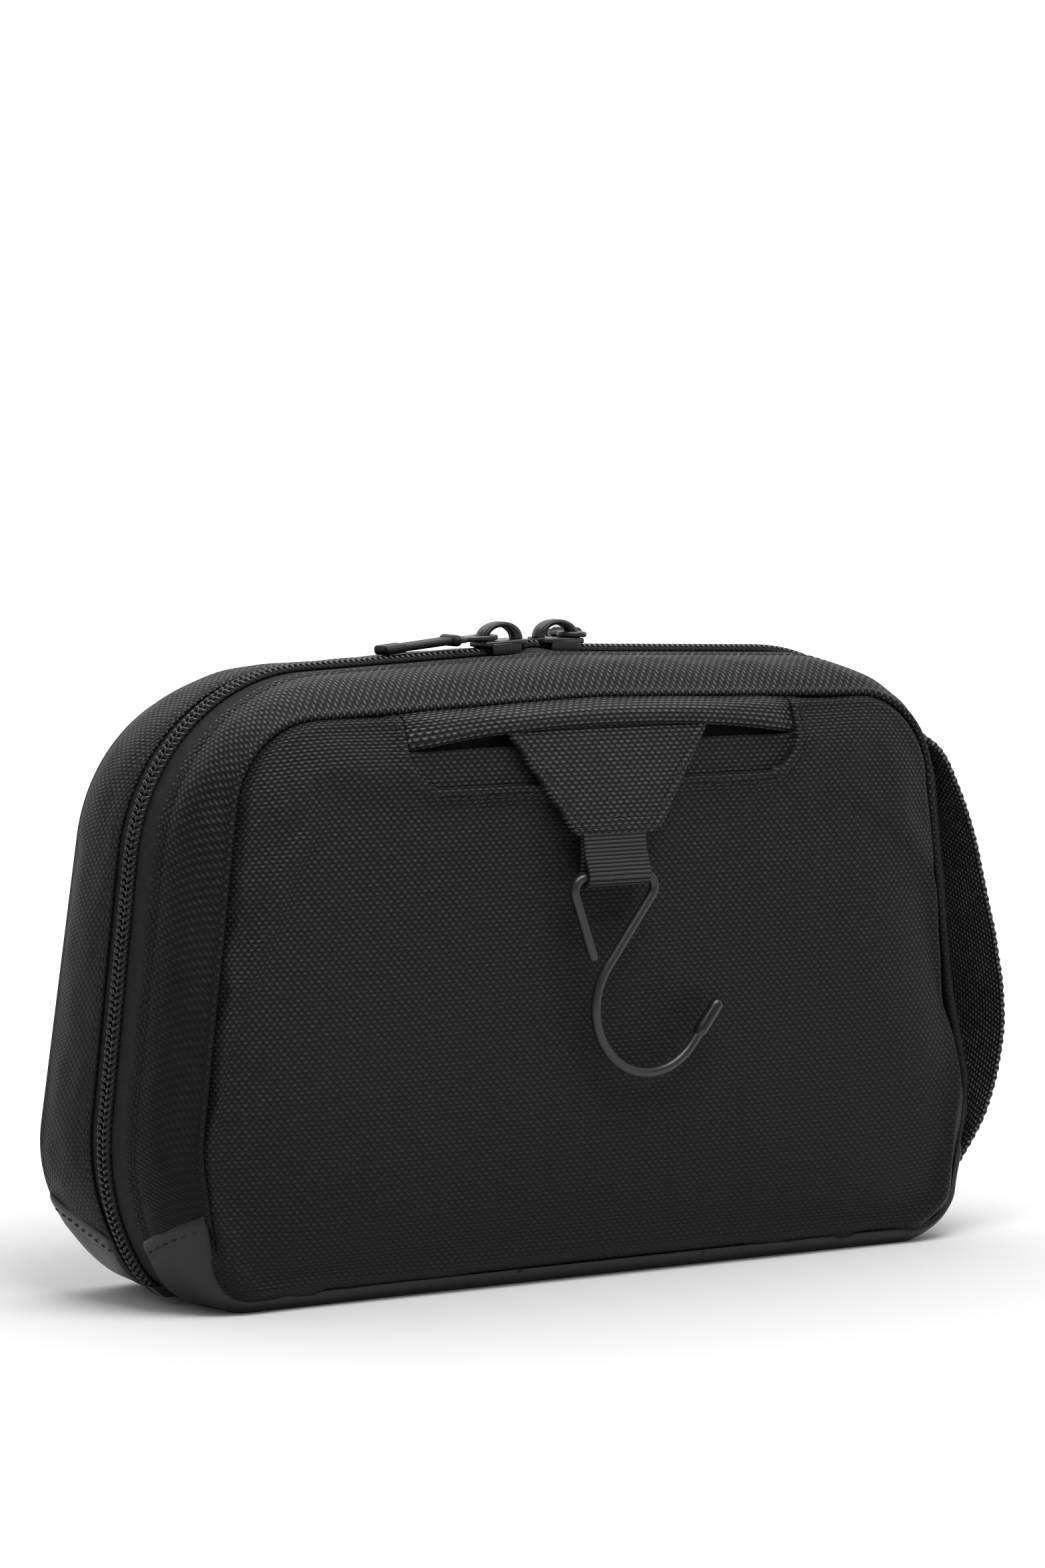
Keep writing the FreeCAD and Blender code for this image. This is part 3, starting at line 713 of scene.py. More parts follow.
def base(side):
    """Coated skin round the foot, folded under at its upper edge and rolled into the panel's seam."""
    sh, seam, fold, name, body = SHELL[side], SEAM[side], FOLD[side], NAMES[side], BODY[side]
    start = 0.45 if side < 0 else -0.05
    tight = 0.03 * np.linspace(0, 1, 6) ** 1.5
    cols = np.concatenate([tight - 1.0, np.linspace(-0.96, 0.96, 190), 1.0 - tight[::-1]])
    rows = np.concatenate([[0.0, 0.02, 0.05, 0.09], np.linspace(0.13, 0.9, 16),
                           [0.93, 0.96, 0.98, 0.995, 1.01, 1.018, 1.02, 1.01, 0.99, 0.95]])
    roll = np.append(np.zeros(20), [0.0, 0.04, 0.12, 0.28, 0.6, 1.05, 1.55, 2.05, 2.45, 2.8])
    edge = base_edge(side)
    from_end = 1 - np.abs(cols)
    P, UV = [], []
    for r, inward in zip(rows, roll):
        x = sh.at(cols * np.interp(fold + (seam - fold) * r, *edge), fold + (seam - fold) * r)[:, 0]
        inner = 1 - smooth(np.abs(x), 98, 112)
        near = fold + (start - fold) * inner
        depth = near + (seam - near) * r
        inside = np.maximum(depth, 0)
        s = cols * np.interp(inside, *edge)
        off = 0.85 * np.sqrt(np.clip(from_end / 0.012, 0, 1)) - 0.35
        off = off - 0.8 * (1 - smooth(r, 0.0, 0.05)) * (1 - inner)
        off = off - 0.42 * inner * (1 - smooth(np.abs(x), 60, 130)) + 0.3 * smooth(r, 0.5, 0.85) - inward
        off = off - 0.18 * np.exp(-(from_end / 0.018 - 2.6) ** 2)
        off = off + 0.75 * smooth(sh.at(s, inside)[:, 2], 0.5, 7.0)
        p = sh.at(s, inside, off)
        p[:, 1] = np.where(depth < 0, side * depth, p[:, 1])
        p[:, 2] = np.maximum(p[:, 2], 0.0 if inward < 0.3 else 0.25 * inward)
        P.append(p)
        UV.append(stack(sh.u(s), depth))
    obj = grid(name + "_base_skin", P, UV, LEATHER, flip=side < 0)
    thicken(obj, 0.9, -1)
    done(obj, body, [name + "_base"])
    d = np.linspace(fold + 1.0, seam - 1.2, 30)
    for end in (-1, 1):
        row = []
        for depth, top in zip(d, np.interp(d, *edge)):
            near = end * np.linspace(top - 6, top, 40)
            z = sh.at(near, depth)[:, 2]
            row.append(near[np.argmin(np.abs(z - (base_top(side, depth) - 3.4)))])
        sew("%s_corner_stitch_%d" % (name, end), sh.at(row, d, 1.52), sh.normal(row, d), 3.0,
            (2.1, 0.5, 0.25), body)


for side in (-1, 1):
    base(side)


# ---- panels --------------------------------------------------------------------------------
RIM = {side: loop_outline(side, SEAM[side]) for side in (-1, 1)}


def radial(side, x, z):
    """Share of the way from the panel's centre to its rim, and the rim's distance."""
    rim = RIM[side] - [0, CENTRE_Z]
    ang = np.arctan2(rim[:, 1], rim[:, 0])
    order = np.argsort(ang)
    ang = ang[order]
    ang = np.concatenate([ang - 2 * math.pi, ang, ang + 2 * math.pi])
    reach = np.interp(np.arctan2(z - CENTRE_Z, x), ang, np.tile(np.hypot(*rim[order].T), 3))
    return np.hypot(x, z - CENTRE_Z) / reach, reach


def height(side, x, z):
    """How far the panel stands out from the hinge plane at (x, z)."""
    s, reach = radial(side, x, z)
    t = np.clip(1 - s, 0, 1)
    inset = t * reach
    sewn = smooth(z, 14, 34) * (1 - smooth(x, 60, 110) * (1 - smooth(z, 34, 66)) if side < 0 else 1.0)
    rise = CROWN[side] * (1 - np.exp(-t / 0.095))
    groove = (0.6 + 3.8 * sewn) * np.exp(-(inset / 2.1) ** 2)
    full = 1.9 * (1 - sewn) * np.exp(-((inset - 4.5) / 4.0) ** 2)
    return SEAM[side] + rise - groove + 0.6 * sewn * np.exp(-((inset - 4.2) / 1.8) ** 2) + full


POCKET_HALF, POCKET_LOW, POCKET_R = 65.0, 136.7, 12.0


def mirrored(half):
    return np.vstack([half, (half * [-1, 1])[::-1][1:]])


def pocket_curve(n, grow=0.0):
    """The pocket's U from its upper left end round to its upper right end."""
    h, low, r = POCKET_HALF + grow, POCKET_LOW - grow, POCKET_R + grow
    q = np.linspace(0.05, math.pi / 2, 20)
    wall = stack(-h, np.append(158.6, np.linspace(157, low + r, 12)))
    bend = stack(r - h - r * np.cos(q), low + r - r * np.sin(q))
    full = mirrored(np.vstack([wall, bend, stack(np.linspace(r - h, 0, 40)[1:], low)]))
    arc = arc_length(full)
    return along(full, np.linspace(0, arc[-1], n), arc)


def nearest(xz, curve):
    """Distance from a grid of points to a dense curve."""
    flat = xz.reshape(-1, 1, 2)
    parts = [((flat[i:i + 4000] - curve) ** 2).sum(-1).min(1) for i in range(0, len(flat), 4000)]
    return np.sqrt(np.concatenate(parts)).reshape(xz.shape[:2])


def eased(n):
    """Shares from 0 to 1, close together at both ends."""
    return 0.5 * (1 - np.cos(np.linspace(0, math.pi, n)))


def strip_points(ns, nt):
    """Grid over the front panel between the pocket's U and the panel's rim."""
    rim = RIM[-1]
    start = int(np.argmin(np.abs(rim[:, 0] + POCKET_HALF + 0.6) + 1e9 * (rim[:, 1] <= 120)))
    share = np.interp(np.linspace(0, 1, ns // 2 + 1), [0, 0.16, 0.42, 0.68, 1.0], range(5))
    edges = []
    for curve, marks in ((pocket_curve(600)[:300], ((-65, 153), (-65, 148), (-58, 138))),
                         (rim[start::-1], ((-106, 150), (-121, 80), (-118, 8)))):
        arc = arc_length(curve)
        keys = [arc[np.argmin(np.hypot(*(curve - mark).T))] for mark in marks]
        edges.append(mirrored(along(curve, np.interp(share, range(5), [0, *keys, arc[-1]]), arc)))
    t = eased(nt)[:, None, None]
    return edges[0] * (1 - t) + edges[1] * t


SIM_FRAMES = 20


def inflate(P, uv, name, pins, cap):
    """Cloth simulation of a padded panel, sewn down where pins is true. Returns how far each point moved,
    which is at most cap."""
    obj = grid(name, P, uv, NYLON)
    group = obj.vertex_groups.new(name="sewn")
    group.add(np.where(pins.ravel())[0].tolist(), 1.0, "REPLACE")
    mod = obj.modifiers.new("cloth", "CLOTH")
    cloth = mod.settings
    cloth.quality = 5
    cloth.mass = 0.3
    cloth.tension_stiffness = cloth.compression_stiffness = 25
    cloth.shear_stiffness = 8
    cloth.bending_stiffness = 2.0
    cloth.vertex_group_mass = "sewn"
    cloth.use_pressure = True
    cloth.uniform_pressure_force = 4.0
    cloth.shrink_min = -0.012
    cloth.effector_weights.gravity = 0.0
    mod.collision_settings.use_collision = False
    mod.collision_settings.use_self_collision = False
    mod.point_cache.frame_end = SIM_FRAMES + 1
    scene = bpy.context.scene
    for f in range(1, SIM_FRAMES + 1):
        scene.frame_set(f)
    result = obj.evaluated_get(bpy.context.evaluated_depsgraph_get()).data
    co = np.zeros(len(result.vertices) * 3)
    result.vertices.foreach_get("co", co)
    move = co.reshape(P.shape) / MM - P
    length = np.linalg.norm(move, axis=-1, keepdims=True)
    bpy.data.objects.remove(obj)
    scene.frame_set(1)
    return move * np.minimum(1.0, cap / np.maximum(length, 1e-9))


def upsample(M, rows_from, rows_to, count):
    """Interpolate a grid of moves from one row spacing to another and to more columns."""
    mid = np.stack([along(M[:, j], rows_to, rows_from) for j in range(M.shape[1])], 1)
    return np.stack([along(row, np.linspace(0, 1, count), np.linspace(0, 1, len(row))) for row in mid])


def panel_uv(side, xz):
    """Cloth coordinates that allow for the panel's fall towards its rim."""
    x, z = xz[..., 0], xz[..., 1]
    fall = SEAM[side] + CROWN[side] - height(side, x, z)
    return xz + unit(stack((x / 125) ** 3, ((z - CENTRE_Z) / 78) ** 3)) * fall[..., None] * 0.8


def front_shape(xz):
    x, z = xz[..., 0], xz[..., 1]
    grow = 1 + 0.006 * (1 - smooth(z, 20, 40))
    return stack(x * grow + swell(x, z), -height(-1, x, z), CENTRE_Z + (z - CENTRE_Z) * grow)


def front_panel():
    rows, columns = 84, 300
    xz = strip_points(columns, rows)
    P = front_shape(xz)
    d = nearest(xz, pocket_curve(800))
    raised = 0.9 * (1 - smooth(d, 3.6, 4.8)) * smooth(d, 0.0, 0.6) - 1.8 * np.exp(-(d / 0.42) ** 2)
    raised = (raised - 0.45 * np.exp(-((d - 3.1) / 0.5) ** 2)) * smooth(158.5 - xz[..., 1], 0.5, 3.0)
    few = 34
    coarse = strip_points(120, few)
    pins = np.zeros(coarse.shape[:2], bool)
    pins[:2] = pins[-1] = pins[:, 0] = pins[:, -1] = True
    move = inflate(front_shape(coarse), coarse, "panel_sim", pins, 2.2)
    P = P + upsample(move, eased(few), eased(rows), P.shape[1]) * 0.6
    P[..., 1] -= raised + 0.22 * waves(xz[..., 0], xz[..., 1], 21, 60.0) * smooth(d, 3, 15)
    obj = grid("front_panel_cloth", P, panel_uv(-1, xz), NYLON, flip=True)
    done(obj, "front_half", ["front_panel", "front_foam"])
    x, z = pocket_curve(400, 3.1).T
    x, z = x[z < 155.5], z[z < 155.5]
    sew("pocket_edge_stitch", stack(x, -height(-1, x, z) - 0.45, z), [0.0, -1.0, 0.0], 3.0, (2.2, 0.5, 0.28),
        "front_half")


def seam_top(x):
    """Height of the front panel's upper seam."""
    up = RIM[-1][RIM[-1][:, 1] > 140]
    up = up[np.argsort(up[:, 0])]
    return np.interp(x, up[:, 0], up[:, 1])


def pocket_lip():
    """Strip of cloth between the seam and the pocket's mouth, with an arched, turned lower edge."""
    x = np.linspace(-POCKET_HALF + 0.2, POCKET_HALF - 0.2, 170)
    ends = smooth(POCKET_HALF - np.abs(x), 0.0, 9.0)
    low = 147.0 + 4.8 * (1 - (np.abs(x) / POCKET_HALF) ** 2.2)
    seam = seam_top(x)
    over = 1.7 * (1 - smooth(np.abs(x), 28, 46))
    stand = 2.35 * ends - 0.5 + over
    r = 1.25
    P = []
    for q in np.linspace(2.6, 0.0, 7)[:-1]:
        y = -height(-1, x, low + 1.5) - stand + r * (1 - math.cos(q))
        P.append(stack(x, y, low + r * (1 - math.sin(q)) * 0.9))
    low = low + r * 0.9
    for t in np.append(np.linspace(0, 0.85, 16), [0.9, 0.94, 0.97, 1.0]):
        z = low + (seam + 0.5 - low) * t
        lift = stand * (1 - smooth(t, 0.1, 1.0) * 0.75) + 0.5 * math.sin(math.pi * t) * ends
        y = -height(-1, x, np.minimum(z, seam - 0.05)) - lift - 0.15 * waves(x, z, 5, 30.0) * ends
        P.append(stack(x, y, z))
    v = np.append(0.0, np.cumsum(np.linalg.norm(np.diff(P, axis=0), axis=2).mean(1)))
    obj = grid("pocket_lip_cloth", P, stack(x, v[:, None]), NYLON_TAB)
    thicken(obj, 0.8, 0)
    done(obj, "front_half", ["pocket_lip", "hook_tab_anchor"])


def pocket_inset():
    """Lower band inside the pocket's U, with a rolled upper edge that dives into the pocket."""
    x = np.linspace(-POCKET_HALF + 0.3, POCKET_HALF - 0.3, 170)
    a = np.clip(np.abs(x) - (POCKET_HALF - POCKET_R), 0, POCKET_R)
    low = POCKET_LOW + POCKET_R - np.sqrt(POCKET_R ** 2 - a ** 2) - 1.6
    top = 146.0 + 0.35 * np.cos(x / POCKET_HALF * math.pi / 2)
    P, UV = [], []
    for t in np.append(np.linspace(0, 0.92, 14), [0.95, 0.97, 0.99, 1.0]):
        z = low + (top - low) * t
        y = 1.1 - height(-1, x, z) + 0.25 * waves(x, z, 9, 34.0) - 0.35 * smooth(t, 0.7, 0.97)
        P.append(stack(x, y, z))
        UV.append(stack(x, z))
    edge = P[-1]
    for q in (0.5, 1.0, 1.5, 2.1):
        P.append(edge + [0, 0.7 * (1 - math.cos(q)), 0.6 * math.sin(q)])
        UV.append(stack(x, top + q * 0.7))
    P.append(P[-1] + [0, 0.3, -5.0])
    UV.append(stack(x, top + 6.0))
    done(grid("pocket_inset_cloth", P, UV, NYLON), "front_half", ["pocket_inset"])


def pocket_lining():
    x = np.linspace(-POCKET_HALF - 1, POCKET_HALF + 1, 120)
    z = np.linspace(132, 157.5, 24)[:, None]
    y = 3.4 - height(-1, x, np.minimum(z, 155)) + 0.45 * waves(x, z, 13, 16.0)
    obj = grid("pocket_lining_cloth", stack(x, y, z), stack(x, z), SMOOTH)
    done(obj, "front_half", ["pocket_lining"])


front_panel()
pocket_lip()
pocket_inset()
pocket_lining()


def rear_panel():
    """Padded rear face: rings that shrink towards the centre, closed there by a fan."""
    scales = 1 - np.append([0, 0.004, 0.009, 0.015, 0.022, 0.03, 0.04, 0.055, 0.075, 0.1],
                           np.linspace(0.13, 0.97, 40))

    def rings(shares, step):
        rim = RIM[1][::step] - [0, CENTRE_Z]
        xz = np.vstack([rim, rim[:1]]) * shares[:, None, None] + [0, CENTRE_Z]
        return xz, stack(xz[..., 0], height(1, xz[..., 0], xz[..., 1]), xz[..., 1])

    xz, P = rings(scales, 1)
    few = scales[::2]
    coarse, start = rings(few, 4)
    pins = np.zeros(start.shape[:2], bool)
    pins[0] = pins[:, 0] = pins[:, -1] = True
    move = inflate(start[:, ::-1], coarse[:, ::-1], "rear_sim", pins, 2.0)[:, ::-1]
    # The rings' two ends are pinned, so the moves beside them are bridged over.
    reach = 9
    share = np.linspace(0, 1, 2 * reach + 1)[None, :, None]
    bridge = move[:, -1 - reach][:, None] * (1 - share) + move[:, reach][:, None] * share
    move[:, -1 - reach:] = bridge[:, :reach + 1]
    move[:, :reach + 1] = bridge[:, reach:]
    P = P + upsample(move, 1 - few, 1 - scales, P.shape[1]) * 0.5
    P[..., 1] += 0.25 * waves(xz[..., 0], xz[..., 1], 31, 60.0) * smooth(1 - scales, 0.02, 0.1)[:, None]
    count = P.shape[1]
    P = np.concatenate([P, np.full((1, count, 3), [0.0, P[-1, :, 1].mean(), CENTRE_Z])])
    xz = np.concatenate([xz, np.full((1, count, 2), [0.0, CENTRE_Z])])
    obj = grid("rear_panel_cloth", P, panel_uv(1, xz), NYLON)
    done(obj, "rear_half", ["rear_panel", "rear_foam"])


rear_panel()


# ---- linings and inner pockets -------------------------------------------------------------
def lining(side):
    """Lining of one half, with the taped seam round its inner corner."""
    sh, seam, name, body = SHELL[side], SEAM[side], NAMES[side], BODY[side]
    s = np.arange(sh.n)
    rows = [(5.5, -1.7), (5.0, -2.0), (4.9, -2.5), (5.3, -2.9), (6.5, -3.0)]
    rows += [(d, -3.0) for d in np.linspace(8, seam - 3.2, 12)]
    rows += [(seam - 2.0, -3.2), (seam - 1.2, -4.0), (seam - 0.9, -5.0)]
    around = sh.u(np.arange(sh.n + 1))
    P, UV = [], []
    for (d, off), v in zip(rows, arc_length(np.array(rows))):
        slack = 0.4 * waves(sh.u(s), d * 1.5, 41 + side, 28.0) * smooth(d, 6, 12)
        P.append(sh.at(s, d, off - 0.3 + slack * (1 - smooth(d, seam - 5, seam - 2))))
        UV.append(stack(around, v))
    last = P[-1]
    for share in (0.97, 0.93, 0.88, 0.8, 0.7, 0.6, 0.5, 0.4, 0.3, 0.2, 0.1, 0.02):
        x = last[:, 0] * share
        z = CENTRE_Z + (last[:, 2] - CENTRE_Z) * share
        y = side * (seam - 1.45 + 0.6 * waves(x, z, 51, 34.0) * (1 - share))
        P.append(stack(x, y, z))
        UV.append(stack(np.append(x, x[0]), np.append(z, z[0])))
    obj = grid(name + "_lining_cloth", P, UV, LINING, loop=True, flip=side < 0)
    thicken(obj, 0.5, 1)
    done(obj, body, [name + "_lining", name + "_base_board"])
    ring = sh.loop(seam - 2.6, -4.3)
    bead = tube(name + "_binding_tape", np.vstack([ring, ring[:1]]), 1.1, BINDING, 10, cap=False)
    done(bead, body, [name + "_seam_binding"])
    sew(name + "_binding_stitch", sh.loop(seam - 3.6, -3.6), -sh.normal(s, seam - 3.6), 3.0, (2.2, 0.5, 0.25),
        body)


def across_sheet(name, side, depth, z0, z1, bulge, material):
    """A pocket face that spans a half's width at a depth, with an elastic hem along its top."""
    loop = SHELL[side].loop(depth, -3.4)
    right = loop[len(loop) // 2:]
    right = right[np.argsort(right[:, 2])]
    foot = np.sort(right[right[:, 2] < 20], axis=0)
    cols = np.linspace(-1, 1, 120)
    z = np.linspace(z0, z1, 40)[:, None]
    half = np.where(z < 14, np.interp(z, foot[:, 2], foot[:, 0]), np.interp(z, right[:, 2], right[:, 0]))
    t = (z - z0) / (z1 - z0)
    x = cols * half
    gather = 0.9 * np.sin(x * 2 * math.pi / 9.0 + 0.8 * np.sin(x * 0.11)) * smooth(t, 0.55, 1.0)
    y = side * (depth - bulge * np.sin(math.pi * (t * 0.9 + 0.05)) ** 0.7 * (1 - cols ** 4))
    P = stack(x, y + gather * (1 - cols ** 6), z)
    obj = grid(name, P, stack(x, z), material)
    done(obj, BODY[side], [name + "_pocket"])
    band = ribbon(name + "_hem", P[-1] + [0, 0, 3.0], [0, 0, 1.0], 4.0, 1.5, BINDING)
    done(band, BODY[side], [name + "_hem"])


for side in (-1, 1):
    lining(side)
across_sheet("front_mesh", -1, 13.0, 4.2, 92.0, 3.0, MESH)
across_sheet("rear_slip", 1, 30.6, 5.0, 104.0, 2.0, LINING)


# ---- carry handle --------------------------------------------------------------------------
HANDLE = [(114.0, 143.5), (122.8, 138.4), (129.6, 128.0), (135.3, 113.5), (140.8, 94.5), (145.2, 75.0),
          (146.2, 58.0), (143.6, 44.0), (138.4, 32.5), (130.6, 22.0)]
HANDLE_SLANT, HANDLE_WIDTH, HANDLE_Y = -1.5, 22.0, -16.0


def spline(points, n):
    """Smooth curve through points."""
    p = np.array(points, float)
    p = np.vstack([2 * p[0] - p[1], p, 2 * p[-1] - p[-2]])
    t = np.linspace(0, 1, n, endpoint=False)[:, None]
    spans = [b + 0.5 * t * (c - a + t * (2 * a - 5 * b + 4 * c - d + t * (3 * b - a - 3 * c + d)))
             for a, b, c, d in zip(p, p[1:], p[2:], p[3:])]
    return np.vstack([*spans, p[-2]])


def side_handle():
    xz = spline(HANDLE, 14)
    across = unit(np.array([HANDLE_SLANT, HANDLE_WIDTH, 0.0]))
    xz = xz + unit(stack(-np.gradient(xz[:, 1]), np.gradient(xz[:, 0]))) * 0.9
    P = stack(xz[:, 0] + HANDLE_SLANT / 2, HANDLE_Y, xz[:, 1])
    arc = arc_length(P)
    even = np.linspace(0, arc[-1], 360)
    P = along(P, even, arc)
    P[:, 0] += 0.35 * waves(even, 0.0, 8, 40.0) * smooth(even, 0, 12) * smooth(arc[-1] - even, 0, 12)
    half = HANDLE_WIDTH / 2 + 0.1 + 0.22 * np.sin(even * 2 * math.pi / 2.6)
    done(ribbon("side_handle_strap", P, across, half, 1.7, STRAP, uv_turn=True), "front_half",
         ["side_handle"])
    for k, share in enumerate((0.03, 0.965)):
        i = int(share * len(P))
        t = unit(P[i + 2] - P[i])
        n = unit(np.cross(t, across))
        n = n if n[0] > 0 else -n
        C = P[i] + across * np.linspace(-9.6, 9.6, 26)[:, None] + n * 0.9
        axes = [np.broadcast_to(axis, C.shape) for axis in (t, across, n)]
        done(scatter("handle_bartack_%d" % k, C, axes, (1.7, 0.42, 0.5), THREAD), "front_half")


side_handle()


# ---- hook tab, webbing and hook ------------------------------------------------------------
TAB_AXIS = np.array([0.0, -35.7, 149.6])
TAB_END = np.array([0.0, -39.8, 122.0])
ALONG = unit(TAB_END - TAB_AXIS)
OUTWARD = np.array([0.0, ALONG[2], -ALONG[1]])
TAB_LEN = float(np.linalg.norm(TAB_END - TAB_AXIS))
TAB_TOP, TAB_LOW = 33.0, 14.0
HOOK_AXIS = np.array([0.0, -41.1, 110.8])


def tab_centre(q):
    """Middle of the tab's thickness at q below its fold line, above which it dives under the lip."""
    q = np.asarray(q, float)[..., None]
    return TAB_AXIS + np.maximum(q, 0) * ALONG + np.minimum(q, 0) * np.array([0, -0.5, -0.87])


def tab_half(q):
    """Half the tab's width at q, with rounded lower corners."""
    r = 2.4
    e = np.clip(q - (TAB_LEN - r), 0, r)
    return TAB_TOP + (TAB_LOW - TAB_TOP) * np.clip(q, 0, TAB_LEN) / TAB_LEN - r + np.sqrt(r ** 2 - e ** 2)


def puff(x, w, q):
    """How far the tab's padding swells at x and q, where it is w wide each way."""
    return 0.9 * (1 - (x / w) ** 2) * np.sin(math.pi * np.clip((q + 4) / (TAB_LEN + 6), 0, 1))


def hook_tab():
    """Padded tab with a raised, folded border and rounded sides."""
    thick, nose = 1.1, 1.2
    rows = np.concatenate([np.linspace(-8, 0, 10)[:-1], np.linspace(0, TAB_LEN - nose, 44),
                           TAB_LEN - nose + nose * np.sin(np.linspace(0.2, 1.55, 7))])
    flat = np.concatenate([np.linspace(-1, -0.7, 14), np.linspace(-0.68, 0.68, 30), np.linspace(0.7, 1, 14)])
    turn = np.array([0.5, 1.1, 1.9, 2.6])
    P, UV = [], []
    for q in rows:
        w = float(tab_half(q))
        end = math.sqrt(1 - np.clip((q - TAB_LEN + nose) / nose, 0, 1) ** 2)
        h = thick * max(end, 0.06)
        x = flat * (w - h)
        edge, low = w - np.abs(x), TAB_LEN - q
        band = np.clip(2 - smooth(edge, 3.0, 3.8) - smooth(low, 4.4, 5.2), 0, 1)
        dent = 0.28 * np.exp(-((edge - 3.4) / 0.45) ** 2) + 0.28 * math.exp(-((low - 2.0) / 0.45) ** 2)
        dent = dent + 0.25 * math.exp(-((low - 4.6) / 0.45) ** 2)
        front = h + (0.4 * band + puff(x, w, q) - dent) * end
        round_x = w - h + h * np.sin(turn)
        round_out = h * np.cos(turn) + 0.4 * end * (turn < 1.5)
        across = np.concatenate([x, round_x, x[::-1], -round_x[::-1]])
        out = np.concatenate([front, round_out, np.full(len(x), -h), round_out[::-1]])
        P.append(tab_centre(q) + stack(across, 0, 0) + OUTWARD * out[:, None])
        UV.append(stack(np.concatenate([x, [w] * 4, x[::-1], [-w] * 4, x[:1]]), q))
    obj = grid("hook_tab_cloth", P, UV, NYLON_TAB, loop=True)
    close_ends(obj)
    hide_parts("hook_tab_face", "hook_tab_back", "hook_tab_stiffener", "hook_tab_fold")
    tuple(tab_centre(-5.0) * MM)
    tuple(tab_centre(5.0) * MM)
    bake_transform(obj)

    def row(name, x, w, q, lift, pitch, length):
        path = tab_centre(q) + stack(x, 0, 0) + OUTWARD * (thick + lift + puff(x, w, q))[:, None]
        sew(name, path, OUTWARD, pitch, (length, 0.5, 0.26), "hook_tab", THREAD)

    q = np.linspace(8.2, TAB_LEN - 3.5, 60)
    for sign in (-1, 1):
        row("tab_side_stitch_%d" % sign, sign * (tab_half(q) - 3.3), tab_half(q), q, 0.12, 2.8, 2.1)
    for k, (low, inset) in enumerate(((2.0, 1.2), (4.7, 3.6))):
        w = float(tab_half(TAB_LEN - low)) - inset
        row("tab_low_stitch_%d" % k, np.linspace(-w, w, 40), w + 3, TAB_LEN - low, 0.15, 2.7, 2.0)


def hook_webbing():
    """Webbing that comes out of the tab, goes round the hook's wire and back."""
    turn, closed = 2.1, 0.62
    shift = np.array([-1.2, 0, 0])
    top, end = TAB_END - ALONG * 3.0 + shift, HOOK_AXIS + shift
    middle = np.array(straight(top, end, 25))
    apart = OUTWARD * (closed + (turn - closed) * smooth(np.linspace(0, 1, 26), 0.5, 1.0))[:, None]
    a = np.linspace(0.1, math.pi - 0.1, 18)[:, None]
    around = end + (OUTWARD * np.cos(a) + unit(end - top) * np.sin(a)) * turn
    path = np.vstack([middle + apart, around, (middle - apart)[::-1]])
    obj = ribbon("hook_webbing_loop", path, [1.0, 0, 0], 10.5, 1.15, WEB)
    done(obj, "hook_tab", ["hook_webbing"])


def hook():
    """Bent wire: a triangle that holds the webbing, then an open bow with a capped tip."""
    centre, bow, bend = np.array([11.3, 75.0]), 18.6, 3.4
    left, right, free = np.array([-16.6, 110.8]), np.array([15.2, 110.8]), np.array([-8.5, 89.2])
    reach = right - centre
    a0 = math.atan2(reach[1], reach[0]) + math.acos(bow / np.linalg.norm(reach))
    a = np.linspace(a0, math.radians(-38.0) + 2 * math.pi, 60)
    arc = list(centre + bow * stack(np.cos(a), np.sin(a)))
    out = np.array([-math.sin(a[-1]), math.cos(a[-1])])
    first = swing(*fillet(left, free, right, bend), 11)
    second = swing(*fillet(right, left, arc[0], bend), 11)
    pts = straight(free, first[0], 11)[:-1] + first + straight(first[-1], second[0], 13)[1:-1] + second
    pts += straight(second[-1], arc[0], 17)[1:-1] + arc + straight(arc[-1], arc[-1] + out * 10.0, 7)[1:]
    lean = math.radians(1.5)

    def place(xz):
        x, z = np.array(xz).T
        up = z - HOOK_AXIS[2]
        return stack(x, HOOK_AXIS[1] - up * math.sin(lean), HOOK_AXIS[2] + up * math.cos(lean))

    done(tube("hook_wire_bar", place(pts), 1.4, METAL, 24), "hook", ["hook_wire"])
    tip = straight(arc[-1] + out * 3.0, arc[-1] + out * 12.5, 15)
    cap = tube("hook_cap", place(tip), np.append([1.55, 1.85, 1.98], np.full(13, 2.0)), TIP, 24)
    done(cap, "hook", ["hook_tip_cap"])


hook_tab()
hook_webbing()
hook()


# ---- zipper sliders ------------------------------------------------------------------------
SLIDER_X = {"left": -10.6, "right": 8.4}
SLIDER_SEAT = 1.6


def moved(x, y, z):
    return Matrix.Translation(Vector((x, y, z)) * MM)


def turned(degrees, axis):
    return Matrix.Rotation(math.radians(degrees), 4, axis)


def run_matrix(x):
    """Place on the zipper's top run at x, tilted with it."""
    slope = (TOP_Z - SHOULDER_Z) / SHOULDER_X
    tilt = math.copysign(math.degrees(math.atan(slope)), x)
    return moved(x, 0, TOP_Z - abs(x) * slope) @ turned(tilt, "Y")


